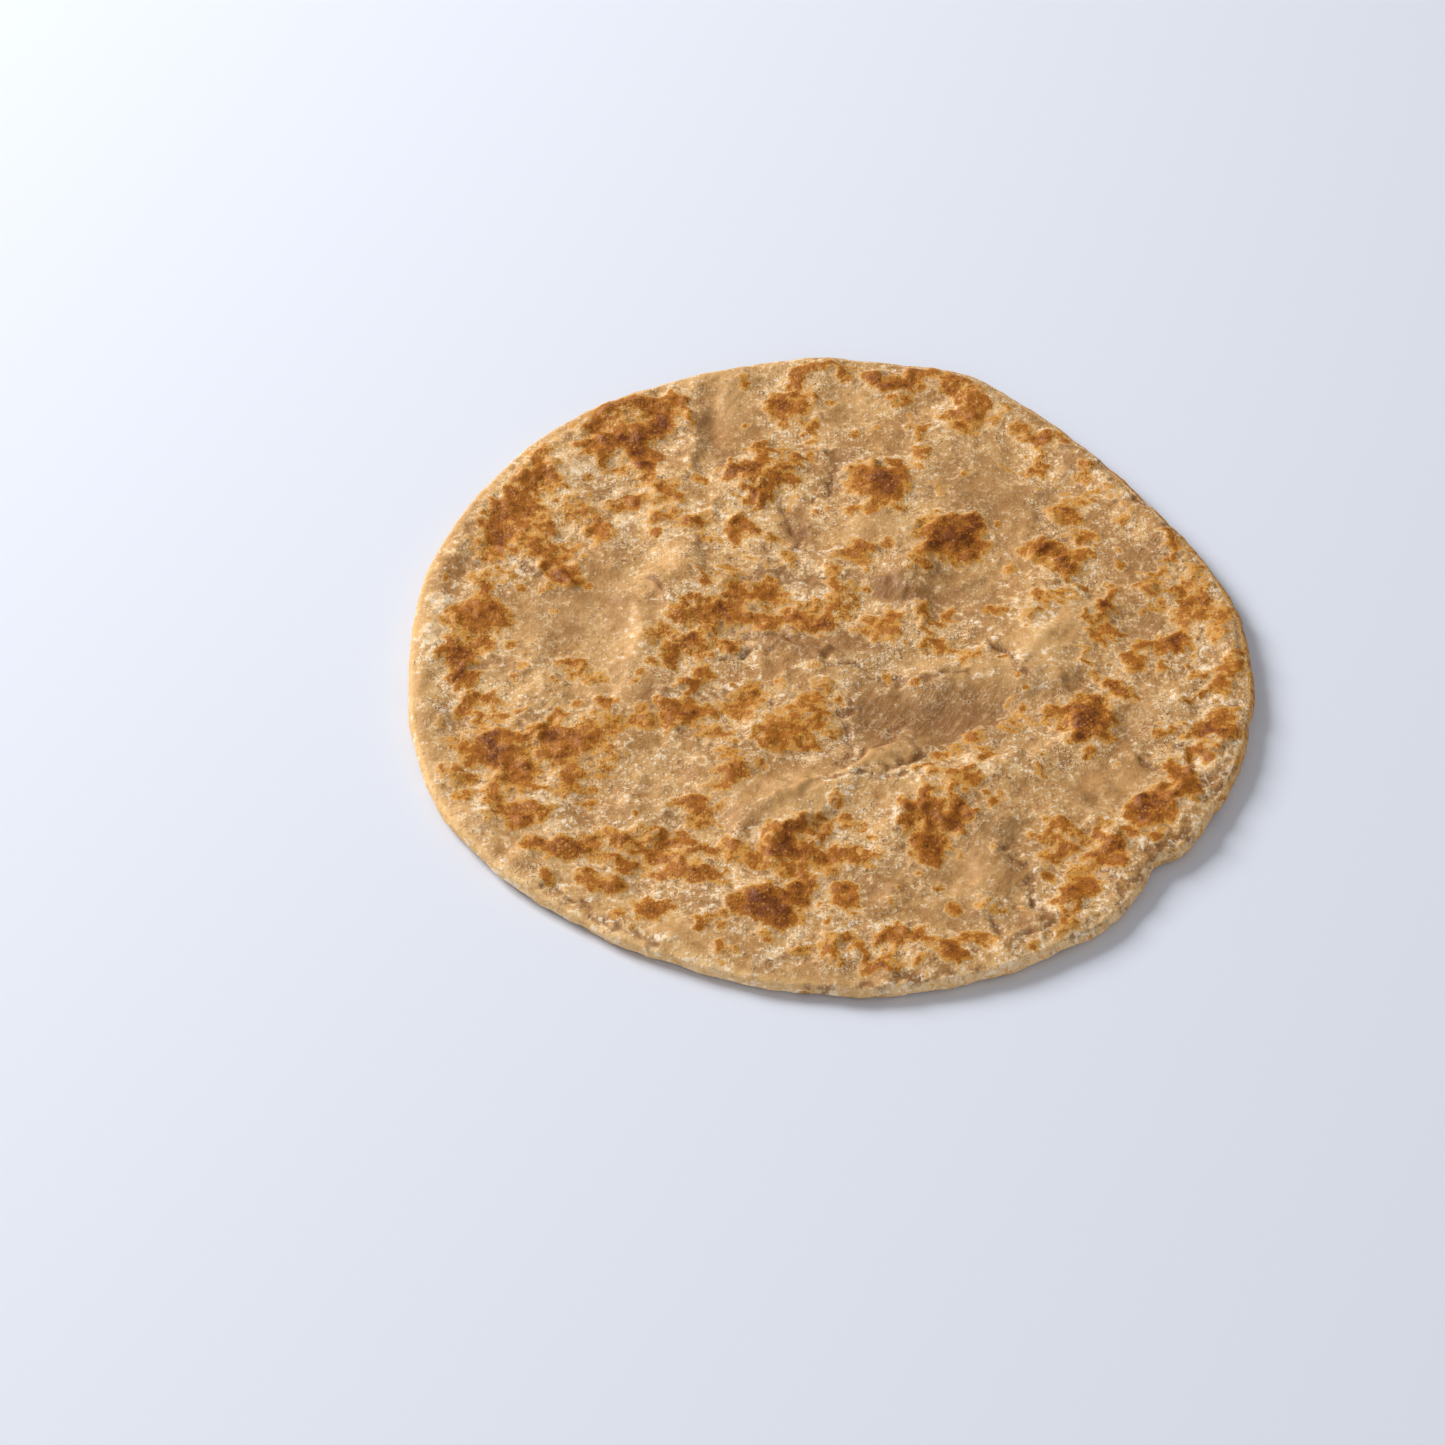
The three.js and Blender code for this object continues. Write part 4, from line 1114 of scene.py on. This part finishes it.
@dataclass
class Crust:
    """The relief and the masks of one face of the bread, worked out on the plan.

    Args:
        plan: The grid.
        face: Which face.
        crumple: Height of the soft lumps all over.
        pucker: Height of the small rounded lumps that come in patches.
        blister: How far toasted blisters stand up.
        crease: Depth of the creases.
        fibre: Height of the fine fibres in the bare places.
        bubbles: How many small bubbles are tried.
        crease_width: Half the width of a crease.
        levelled: Share of the broad rises that is taken out again, because the CAD sheet has them.
        relief: Height of each grid point over the CAD sheet.
        masks: The face's masks on the grid, by name.
    """

    plan: Plan
    face: Face
    crumple: float = 0.24
    pucker: float = 0.24
    blister: float = 0.42
    crease: float = 0.5
    fibre: float = 0.07
    bubbles: int = 420
    crease_width: float = 0.7
    levelled: float = 0.8
    relief: np.ndarray = field(init=False)
    masks: dict[str, np.ndarray] = field(init=False)

    def __post_init__(self) -> None:
        """Work out the masks first, then the relief that follows them."""
        plan = self.plan
        toast, flour_and_highlight, bare_and_shade, smooth = self._cover()
        glow = plan.blur(toast, 3.5)
        toast = np.maximum(toast, 0.5 * glow)
        untoasted = 1 - ease(0.25, 0.5, toast)
        smooth = np.clip(smooth, 0, 1) * untoasted
        bare_and_shade = np.clip(bare_and_shade, 0, 1) * untoasted * (1 - 0.8 * smooth)
        gritty = 1 - 0.85 * ease(0.2, 0.8, np.maximum(bare_and_shade, smooth))

        relief = self._lumps(toast, glow, gritty)
        bubble, golden = self._bubbles(gritty * (1 - ease(0.5, 0.8, toast)))
        relief += bubble
        folds = np.zeros_like(relief)
        lips = np.zeros_like(relief)
        if self.face is Face.UPPER:
            folds, lips = self._fold(relief)
        relief += self.crease * (0.4 * lips - folds)
        self.relief = relief - self.levelled * plan.blur(relief, 12)
        # Creases are painted darker as shade; lips add flour, partly as painted highlight.
        self.masks = {
            "toast": np.maximum(toast, golden),
            "flour_and_highlight": np.clip(0.75 * flour_and_highlight + 0.3 * lips, 0, 0.9),
            "bare_and_shade": bare_and_shade,
            "smooth": smooth,
            "crease": np.clip(folds, 0, 1),
        }

    def _cover(self) -> tuple[np.ndarray, np.ndarray, np.ndarray, np.ndarray]:
        """Where the face is toasted, floury, bare and smooth, painted highlights and shade included.

        Returns:
            The four masks.
        """
        plan, seed = self.plan, self.face.value
        if self.face is Face.UPPER:
            return (plan.spots([spot for group in TOAST.values() for spot in group]),
                    plan.spots(FLOUR_AND_HIGHLIGHT, 0.8, seed + 20),
                    plan.spots(BARE_AND_SHADE, 1.4, seed + 30),
                    plan.spots(SMOOTH, 1.2, seed + 50))
        return (self._scattered(),
                0.3 * ease(0.6, 1.6, plan.noise(18, seed + 20)),
                0.6 * ease(0.3, 1.6, plan.noise(26, seed + 30)),
                ease(0.2, 1.4, plan.noise(22, seed + 50)))

    def _lumps(self, toast: np.ndarray, glow: np.ndarray, gritty: np.ndarray) -> np.ndarray:
        """Soft lumps, puckers and fibres, with the blisters under the toast.

        Args:
            toast: The toasted spots.
            glow: The same spots, softened far out.
            gritty: Where the dough is neither bare nor smooth.

        Returns:
            Their height.
        """
        plan, seed = self.plan, self.face.value
        patchy = ease(-0.6, 1.4, plan.noise(24, seed + 1)) + ease(0.1, 0.4, glow)
        relief = self.crumple * (plan.noise(17, seed + 3) + 0.5 * plan.noise(8, seed + 4))
        relief += self.pucker * patchy * gritty * np.maximum(plan.noise(5, seed + 2) - 0.2, 0)
        relief += 0.5 * self.pucker * patchy * gritty * np.maximum(plan.noise(2.6, seed + 8), 0)
        relief += self.fibre * plan.noise(2.2, seed + 5, 3.5, 60) * (1 - gritty)
        risen = plan.blur(toast, 0.35)
        relief += self.blister * (0.75 * ease(0.12, 0.36, risen) + 0.35 * ease(0.4, 0.8, risen))
        return relief

    def _fold(self, relief: np.ndarray) -> tuple[np.ndarray, np.ndarray]:
        """Add the listed ridges and valleys to the relief, and find the creases.

        Args:
            relief: The relief, which is changed in place.

        Returns:
            The creases, and the raised lips beside them.
        """
        plan, seed = self.plan, self.face.value
        sway = 1 + 0.14 * plan.noise(9, seed + 7)
        for height, left, right, line in SWELLS:
            gap, side = plan.distance(line)
            width = sway * (left * (1 + side) + right * (1 - side)) / 2
            relief += height * np.exp(-(gap / width) ** 2)
        wander = 0.25 * plan.noise(4, seed + 6)
        folds = np.zeros_like(relief)
        lips = np.zeros_like(relief)
        for line in CREASES:
            gap, side = plan.distance(line)
            gap = gap + wander
            folds = np.maximum(folds, np.exp(-(gap / self.crease_width) ** 2))
            beside = (gap - 2 * self.crease_width) / 0.9
            lips = np.maximum(lips, np.exp(-beside ** 2) * ease(0, 0.7, side))
        return folds, lips

    def _scattered(self) -> np.ndarray:
        """Toasted spots drawn at random, denser in some places, for the face that rests.

        Returns:
            Their mask.
        """
        seed = self.face.value
        draw = np.random.default_rng(seed)
        where = self.plan.noise(38, seed + 40)
        spots = []
        for _ in range(900):
            x, y = draw.uniform(-95, 95), draw.uniform(-103, 103)
            here = self.plan.sample(where, np.array([x]), np.array([y]))[0]
            if draw.random() > 0.3 + 0.25 * here:
                continue
            size = draw.gamma(4.5, 0.55)
            spots.append((x, y, size * draw.uniform(0.8, 1.6), size, draw.uniform(0.4, 0.95),
                          draw.uniform(0, 180)))
        return self.plan.spots(spots, 1.2, seed + 10)

    def _bubbles(self, room: np.ndarray) -> tuple[np.ndarray, np.ndarray]:
        """Small domed bubbles.

        Args:
            room: Where bubbles may stand, from 0 to 1.

        Returns:
            Their height, and how far their tops are browned.
        """
        plan = self.plan
        draw = np.random.default_rng(self.face.value + 9)
        height = np.zeros_like(plan.x)
        golden = np.zeros_like(plan.x)
        for _ in range(self.bubbles):
            x, y = draw.uniform(-92, 92), draw.uniform(-100, 100)
            radius, tall = draw.uniform(0.7, 2.3), draw.uniform(0.12, 0.3)
            stretch, angle = draw.uniform(1, 1.6), draw.uniform(0, math.pi)
            brown = draw.uniform(0.1, 0.62)
            if plan.sample(room, np.array([x]), np.array([y]))[0] < 0.6:
                continue
            rows, columns = plan.window(x, y, 2 * radius * stretch)
            dx, dy = plan.x[rows, columns] - x, plan.y[rows, columns] - y
            along = (dx * math.cos(angle) + dy * math.sin(angle)) / (radius * stretch)
            beside = (dy * math.cos(angle) - dx * math.sin(angle)) / radius
            dome = np.clip(1 - along ** 2 - beside ** 2, 0, 1) ** 0.7
            height[rows, columns] = np.maximum(height[rows, columns], tall * dome)
            golden[rows, columns] = np.maximum(golden[rows, columns], brown * dome)
        return height, golden


@dataclass
class Bread:
    """The paratha: one closed mesh that follows the CAD sheet and carries its crust.

    Args:
        node: The CAD node it stands for.
        spare: How far the plan goes past the bread, in millimetres.
        rings: Rings of points over the upper face.
        under_rings: Rings of points over the underside.
        spokes: How many points each ring has more than the ring inside it.
        side_loops: Loops of points down the rounded margin.
        roundness: How far in the margin starts to round over, in millimetres.
        settled: How far in the CAD heights are used, in millimetres.
        thinnest: Least thickness, in millimetres.
        flaky_side: Direction in which the margin is most flaky, in degrees.
        wobble_seed: Seed of the margin's wobbles.
        flake_seed: Seed of the flaky layers round the margin.
        upper_disc: Middle and radius of the upper face's disc in the surface layout.
        under_disc: The same for the underside.
        finish: Finish of the dough.
    """

    node: str = "paratha"
    spare: float = 4.0
    rings: int = 148
    under_rings: int = 74
    spokes: int = 6
    side_loops: int = 11
    roundness: float = 1.7
    settled: float = 2.6
    thinnest: float = 1.2
    flaky_side: float = 320.0
    wobble_seed: int = 77
    flake_seed: int = 5
    upper_disc: tuple[float, float] = (0.383, 0.375)
    under_disc: tuple[float, float] = (0.797, 0.197)
    finish: BakedDough = BakedDough()

    def build(self) -> bpy.types.Object:
        """Make the bread's object, with its masks, layout and material.

        Returns:
            The object.
        """
        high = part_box(self.node)[1]
        plan = Plan((high.x / MM + self.spare, high.y / MM + self.spare))
        sheet = CadSheet(self.node, plan)
        reach = sheet.reach()
        inset = self._inset(plan.x, plan.y, reach)
        upper = Crust(plan, Face.UPPER)
        under = Crust(plan, Face.UNDER, crumple=0.06, pucker=0.05, blister=0.12, bubbles=200)
        inside = (inset > self.settled).astype(float)
        top = sheet.heights(Face.UPPER, inside) + upper.relief * ease(-1, 5, inset)
        floor = sheet.heights(Face.UNDER, inside)
        floor = np.maximum(floor, 0) + np.clip(0.25 - under.relief, 0, 0.6) * ease(0.5, 6, inset)
        top = np.maximum(top, floor + self.thinnest)

        margin = self.spokes * self.rings
        turn = np.arange(margin) / margin * FULL_TURN
        rim = self._rim(turn, reach)
        places, loops, seam = self._skin(plan, top, floor, turn, rim)
        mesh = self._mesh(places, loops, seam)
        self._paint(mesh, places, plan, (upper, under), inset)
        bread = bpy.data.objects.new("baked_dough", mesh)
        bpy.context.scene.collection.objects.link(bread)
        mesh.materials.append(self.finish.material("baked_dough"))
        log.info("bread: %d points, %d faces", len(mesh.vertices), len(mesh.polygons))
        return bread

    @staticmethod
    def _inset(x: np.ndarray, y: np.ndarray, reach: np.ndarray) -> np.ndarray:
        """Distance inside the outline, along the line from the middle."""
        return around(np.arctan2(y, x) % FULL_TURN, reach) - np.hypot(x, y)

    def _flaky(self, turn: np.ndarray) -> np.ndarray:
        """How flaky the margin is in each direction, from 0 to 1."""
        return 0.5 + 0.5 * np.cos(turn - math.radians(self.flaky_side))

    def _rim(self, turn: np.ndarray, reach: np.ndarray) -> np.ndarray:
        """The outline at the margin points, with the small wobbles of a hand-rolled edge.

        Args:
            turn: Directions of the margin points.
            reach: The CAD sheet's reach in evenly spread directions.

        Returns:
            The reach of each margin point.
        """
        draw = np.random.default_rng(self.wobble_seed)
        wobble = np.zeros_like(turn)
        for waves in (23, 37, 61, 97, 140):
            phase, size = draw.uniform(0, 6.28), draw.uniform(0.4, 1)
            wobble += size * np.sin(waves * turn + phase) / waves ** 0.9
        wobble /= np.abs(wobble).max()
        return around(turn, reach) - 0.25 + wobble * (0.16 + 0.34 * self._flaky(turn))

    def _skin(self, plan: Plan, top: np.ndarray, floor: np.ndarray, turn: np.ndarray,
              rim: np.ndarray) -> tuple[np.ndarray, list[np.ndarray], int]:
        """Points of the whole skin, loop by loop, from the middle of the top to the middle below.

        Args:
            plan: The grid.
            top: Heights of the upper face.
            floor: Heights of the underside.
            turn: Directions of the margin points.
            rim: The outline's reach in those directions.

        Returns:
            The points in millimetres, each loop's point numbers, and the loop on the margin's
            widest line.
        """
        places: list[np.ndarray] = []
        loops: list[np.ndarray] = []

        def add(x: np.ndarray, y: np.ndarray, z: np.ndarray) -> None:
            """Add one loop of points.

            Args:
                x: Their places across.
                y: Their places away.
                z: Their heights.
            """
            start = sum(len(p) for p in places)
            places.append(np.column_stack([x, y, z]))
            loops.append(np.arange(start, start + len(x)))

        def ring(count: int, share: float, heights: np.ndarray) -> None:
            """Add one ring of a face.

            Args:
                count: How many points it has.
                share: How far it lies out, as a share of the way to the rounded edge.
                heights: Heights of the face on the grid.
            """
            angle = np.arange(count) / count * FULL_TURN
            radius = (around(angle, rim) - self.roundness) * share
            x, y = radius * np.cos(angle), radius * np.sin(angle)
            add(x, y, plan.sample(heights, x, y))

        for k in range(self.rings + 1):
            ring(max(1, self.spokes * k), k / self.rings, top)
        edge_x, edge_y, edge_z = places[-1].T
        base_z = plan.sample(floor, edge_x, edge_y)
        half = (edge_z - base_z) / 2
        waves = (5, 9, 17, 29, 43, 71)
        phases = np.random.default_rng(self.flake_seed).uniform(0, 6.28, len(waves))
        drift = sum(np.sin(n * turn + phase) for n, phase in zip(waves, phases)) / 3
        flakes = 0.16 * (0.3 + self._flaky(turn))
        # The margin is rounded from the top down, and the flaky layers push it in and out.
        for loop in range(1, self.side_loops + 1):
            angle = math.pi / 2 - math.pi * loop / (self.side_loops + 1)
            out = self.roundness * math.cos(angle) ** 0.8
            z = base_z + half + half * math.sin(angle)
            split = np.cos(7 * (z - base_z) / np.maximum(half, 0.5) + 2.2 * drift)
            reach = rim - self.roundness + out + flakes * split * math.cos(angle)
            add(reach * np.cos(turn), reach * np.sin(turn), z)
        seam = self.rings + (self.side_loops + 1) // 2
        add(edge_x, edge_y, base_z)
        for k in range(self.under_rings, -1, -1):
            share = k / self.under_rings * (1 - 1 / self.rings)
            ring(max(1, self.spokes * k), share, floor)
        return np.concatenate(places), loops, seam

    def _mesh(self, places: np.ndarray, loops: list[np.ndarray], seam: int) -> bpy.types.Mesh:
        """The closed mesh of the skin, with its surface layout.

        Args:
            places: The points in millimetres.
            loops: Each loop's point numbers.
            seam: The loop on the margin's widest line, where the layout is cut.

        Returns:
            The mesh.
        """
        faces: list[tuple[int, int, int]] = []
        upper: list[bool] = []
        for number, (first, second) in enumerate(zip(loops, loops[1:])):
            made = self._stitch(first, second)
            faces += made
            upper += [number < seam] * len(made)
        mesh = bpy.data.meshes.new("baked_dough")
        mesh.from_pydata((places * MM).tolist(), [], faces)
        mesh.shade_smooth()
        mesh.validate()
        self._lay_out(mesh, places, loops, seam, np.array(upper))
        return mesh

    @staticmethod
    def _stitch(first: np.ndarray, second: np.ndarray) -> list[tuple[int, int, int]]:
        """Triangles between two closed loops whose points start in the same direction.

        Args:
            first: Point numbers of one loop. A loop of one point makes a fan.
            second: Point numbers of the next loop.

        Returns:
            The triangles.
        """
        n, m = len(first), len(second)
        faces = []
        i = j = 0
        while i < n or j < m:
            a, b = int(first[i % n]), int(second[j % m])
            if j >= m or (i < n and (i + 1) / n <= (j + 1) / m):
                if n > 1:
                    faces.append((a, b, int(first[(i + 1) % n])))
                i += 1
            else:
                if m > 1:
                    faces.append((a, b, int(second[(j + 1) % m])))
                j += 1
        return faces

    @staticmethod
    def _spread(places: np.ndarray, loops: list[np.ndarray]) -> np.ndarray:
        """Flatten a part of the skin to a disc that keeps lengths from the middle outwards.

        Args:
            places: All points.
            loops: The part's loops, from its middle to the margin.

        Returns:
            Each point's place on a disc of radius 1. Points of other loops are left at 0.
        """
        rim = places[loops[-1], :2]
        reach = np.hypot(*rim.T)
        section = [(np.hypot(*places[loop, :2].T).mean(), places[loop, 2].mean()) for loop in loops]
        travel = np.cumsum([0] + [math.dist(a, b) for a, b in zip(section, section[1:])])
        disc = np.zeros((len(places), 2))
        for loop, gone in zip(loops, travel / travel[-1]):
            x, y = places[loop, :2].T
            angle = np.arctan2(y, x) % FULL_TURN
            radius = gone * around(angle, reach) / reach.max()
            disc[loop] = np.column_stack([radius * np.cos(angle), radius * np.sin(angle)])
        return disc

    def _lay_out(self, mesh: bpy.types.Mesh, places: np.ndarray, loops: list[np.ndarray], seam: int,
                 upper: np.ndarray) -> None:
        """Lay the upper face out flat as a large disc, and the underside, mirrored, as a small one.

        Args:
            mesh: The mesh.
            places: Its points in millimetres.
            loops: Each loop's point numbers.
            seam: The loop where the two faces meet.
            upper: For each triangle, whether it belongs to the upper face.
        """
        middle, radius = self.upper_disc
        above = middle + radius * self._spread(places, loops[:seam + 1])
        middle, radius = self.under_disc
        below = middle + radius * self._spread(places, loops[:seam - 1:-1]) * [-1, 1]
        corners = np.empty(len(mesh.loops), int)
        mesh.loops.foreach_get("vertex_index", corners)
        on_top = np.repeat(upper, 3)[:, None]
        layer = mesh.uv_layers.new(name="OFBake")
        layer.data.foreach_set("uv", np.where(on_top, above[corners], below[corners]).ravel())

    def _paint(self, mesh: bpy.types.Mesh, places: np.ndarray, plan: Plan,
               crusts: tuple[Crust, Crust], inset: np.ndarray) -> None:
        """Paint each face's masks on its points. The rounded margin shares both.

        Args:
            mesh: The mesh.
            places: Its points in millimetres.
            plan: The grid.
            crusts: The crusts of the upper face and the underside.
            inset: Distance inside the outline on the grid.
        """
        x, y, _ = places.T
        normals = np.empty(len(places) * 3, np.float32)
        mesh.vertices.foreach_get("normal", normals)
        # A point takes the masks of the face that it looks towards.
        above = ease(-0.4, 0.4, normals[2::3])
        upper, under = (crust.masks for crust in crusts)
        values = {name: plan.sample(upper[name], x, y) * above
                  + plan.sample(under[name], x, y) * (1 - above) for name in upper}
        # The margin has its own toast, and flour that is partly painted light; both go by direction.
        angle = np.degrees(np.arctan2(y, x)) % 360
        near = 1 - ease(0.6, 2.6, plan.sample(inset, x, y))
        toasted = np.interp(angle, *np.array(RIM_TOAST).T)
        values["toast"] = np.maximum(values["toast"] * (1 - 0.5 * near), toasted * near)
        # Where the margin is untoasted, on the left and at the front, it is paled with flour, partly
        # as painted light.
        values["flour_and_highlight"] = np.maximum(values["flour_and_highlight"], 0.35 * near * ease(0.35, 0.0, toasted))
        values["rim"] = near
        for name, amounts in values.items():
            layer = mesh.attributes.new(name, "FLOAT", "POINT")
            layer.data.foreach_set("value", amounts.astype(np.float32))


@dataclass(frozen=True)
class SoftLight:
    """A square soft light that faces the bread.

    Args:
        name: Its name.
        place: Where its middle stands.
        size: Its width.
        power: Its power in watts.
        colour: Its colour.
    """

    name: str
    place: tuple[float, float, float]
    size: float
    power: float
    colour: tuple[float, float, float]

    def build(self) -> None:
        """Hang the light and turn it towards the bread."""
        lamp = bpy.data.lights.new(self.name, "AREA")
        lamp.size = self.size
        lamp.energy = self.power
        lamp.color = self.colour
        light = bpy.data.objects.new(self.name, lamp)
        light.location = self.place
        light.rotation_euler = (-Vector(self.place)).to_track_quat("-Z", "Y").to_euler()
        bpy.context.scene.collection.objects.link(light)


@dataclass
class Studio:
    """The pale table, the soft lights and the camera.

    Args:
        table: Finish of the table.
        table_size: Its width and depth.
        table_drop: How far it lies below the bread, so that the two never share a plane.
        lights: The lights.
        sky: Colour of the light from all around.
        sky_strength: Its strength.
        pitch: How far the camera looks down, in degrees.
        eye: Where the camera stands.
        focal: Its focal length in millimetres.
        sensor: Its sensor's width in millimetres.
    """

    table: PalePlain = PalePlain(tint(225, 231, 245))
    table_size: float = 8.0
    table_drop: float = 0.0001
    lights: tuple[SoftLight, ...] = (
        SoftLight("key", (-1.35, 0.85, 1.05), 0.9, 43.0, (1.0, 0.985, 0.96)),
        SoftLight("fill", (0.5, -2.0, 1.0), 1.6, 10.0, (1.0, 0.99, 0.98)),
    )
    sky: Colour = tint(250, 248, 246)
    sky_strength: float = 0.32
    pitch: float = 44.4
    eye: tuple[float, float, float] = (-0.02401, -0.5729, 0.54028)
    focal: float = 87.2
    sensor: float = 36.0

    def build(self) -> None:
        """Lay the table and set the lights and the camera."""
        self._table()
        for light in self.lights:
            light.build()
        world = bpy.data.worlds.new("sky")
        world.use_nodes = True
        background = world.node_tree.nodes["Background"]
        background.inputs["Color"].default_value = self.sky
        background.inputs["Strength"].default_value = self.sky_strength
        bpy.context.scene.world = world
        bpy.context.scene.view_settings.view_transform = "Standard"
        self._camera()

    def _table(self) -> None:
        """A wide flat table under the bread."""
        half = self.table_size / 2
        mesh = bpy.data.meshes.new("table")
        mesh.from_pydata([(-half, -half, 0), (half, -half, 0), (half, half, 0), (-half, half, 0)],
                         [], [(0, 1, 2, 3)])
        table = bpy.data.objects.new("table", mesh)
        mesh.materials.append(self.table.material("table"))
        bpy.context.scene.collection.objects.link(table)
        table.location.z = -self.table_drop

    def _camera(self) -> None:
        """The camera, looking down at the bread from the front."""
        data = bpy.data.cameras.new("camera")
        data.sensor_width = self.sensor
        data.lens = self.focal
        data.clip_start = 0.01
        camera = bpy.data.objects.new("camera", data)
        camera.location = self.eye
        camera.rotation_euler = (math.radians(90 - self.pitch), 0, 0)
        bpy.context.scene.collection.objects.link(camera)
        bpy.context.scene.camera = camera


def main() -> None:
    """Build the bread and the studio around the frame."""
    bread = Bread().build()
    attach(bread, "root")
    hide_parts("paratha")
    log.info("bread rides on root and stands for the CAD sheet")
    Studio().build()
    log.info("studio ready")


if __name__ == "__main__":
    main()
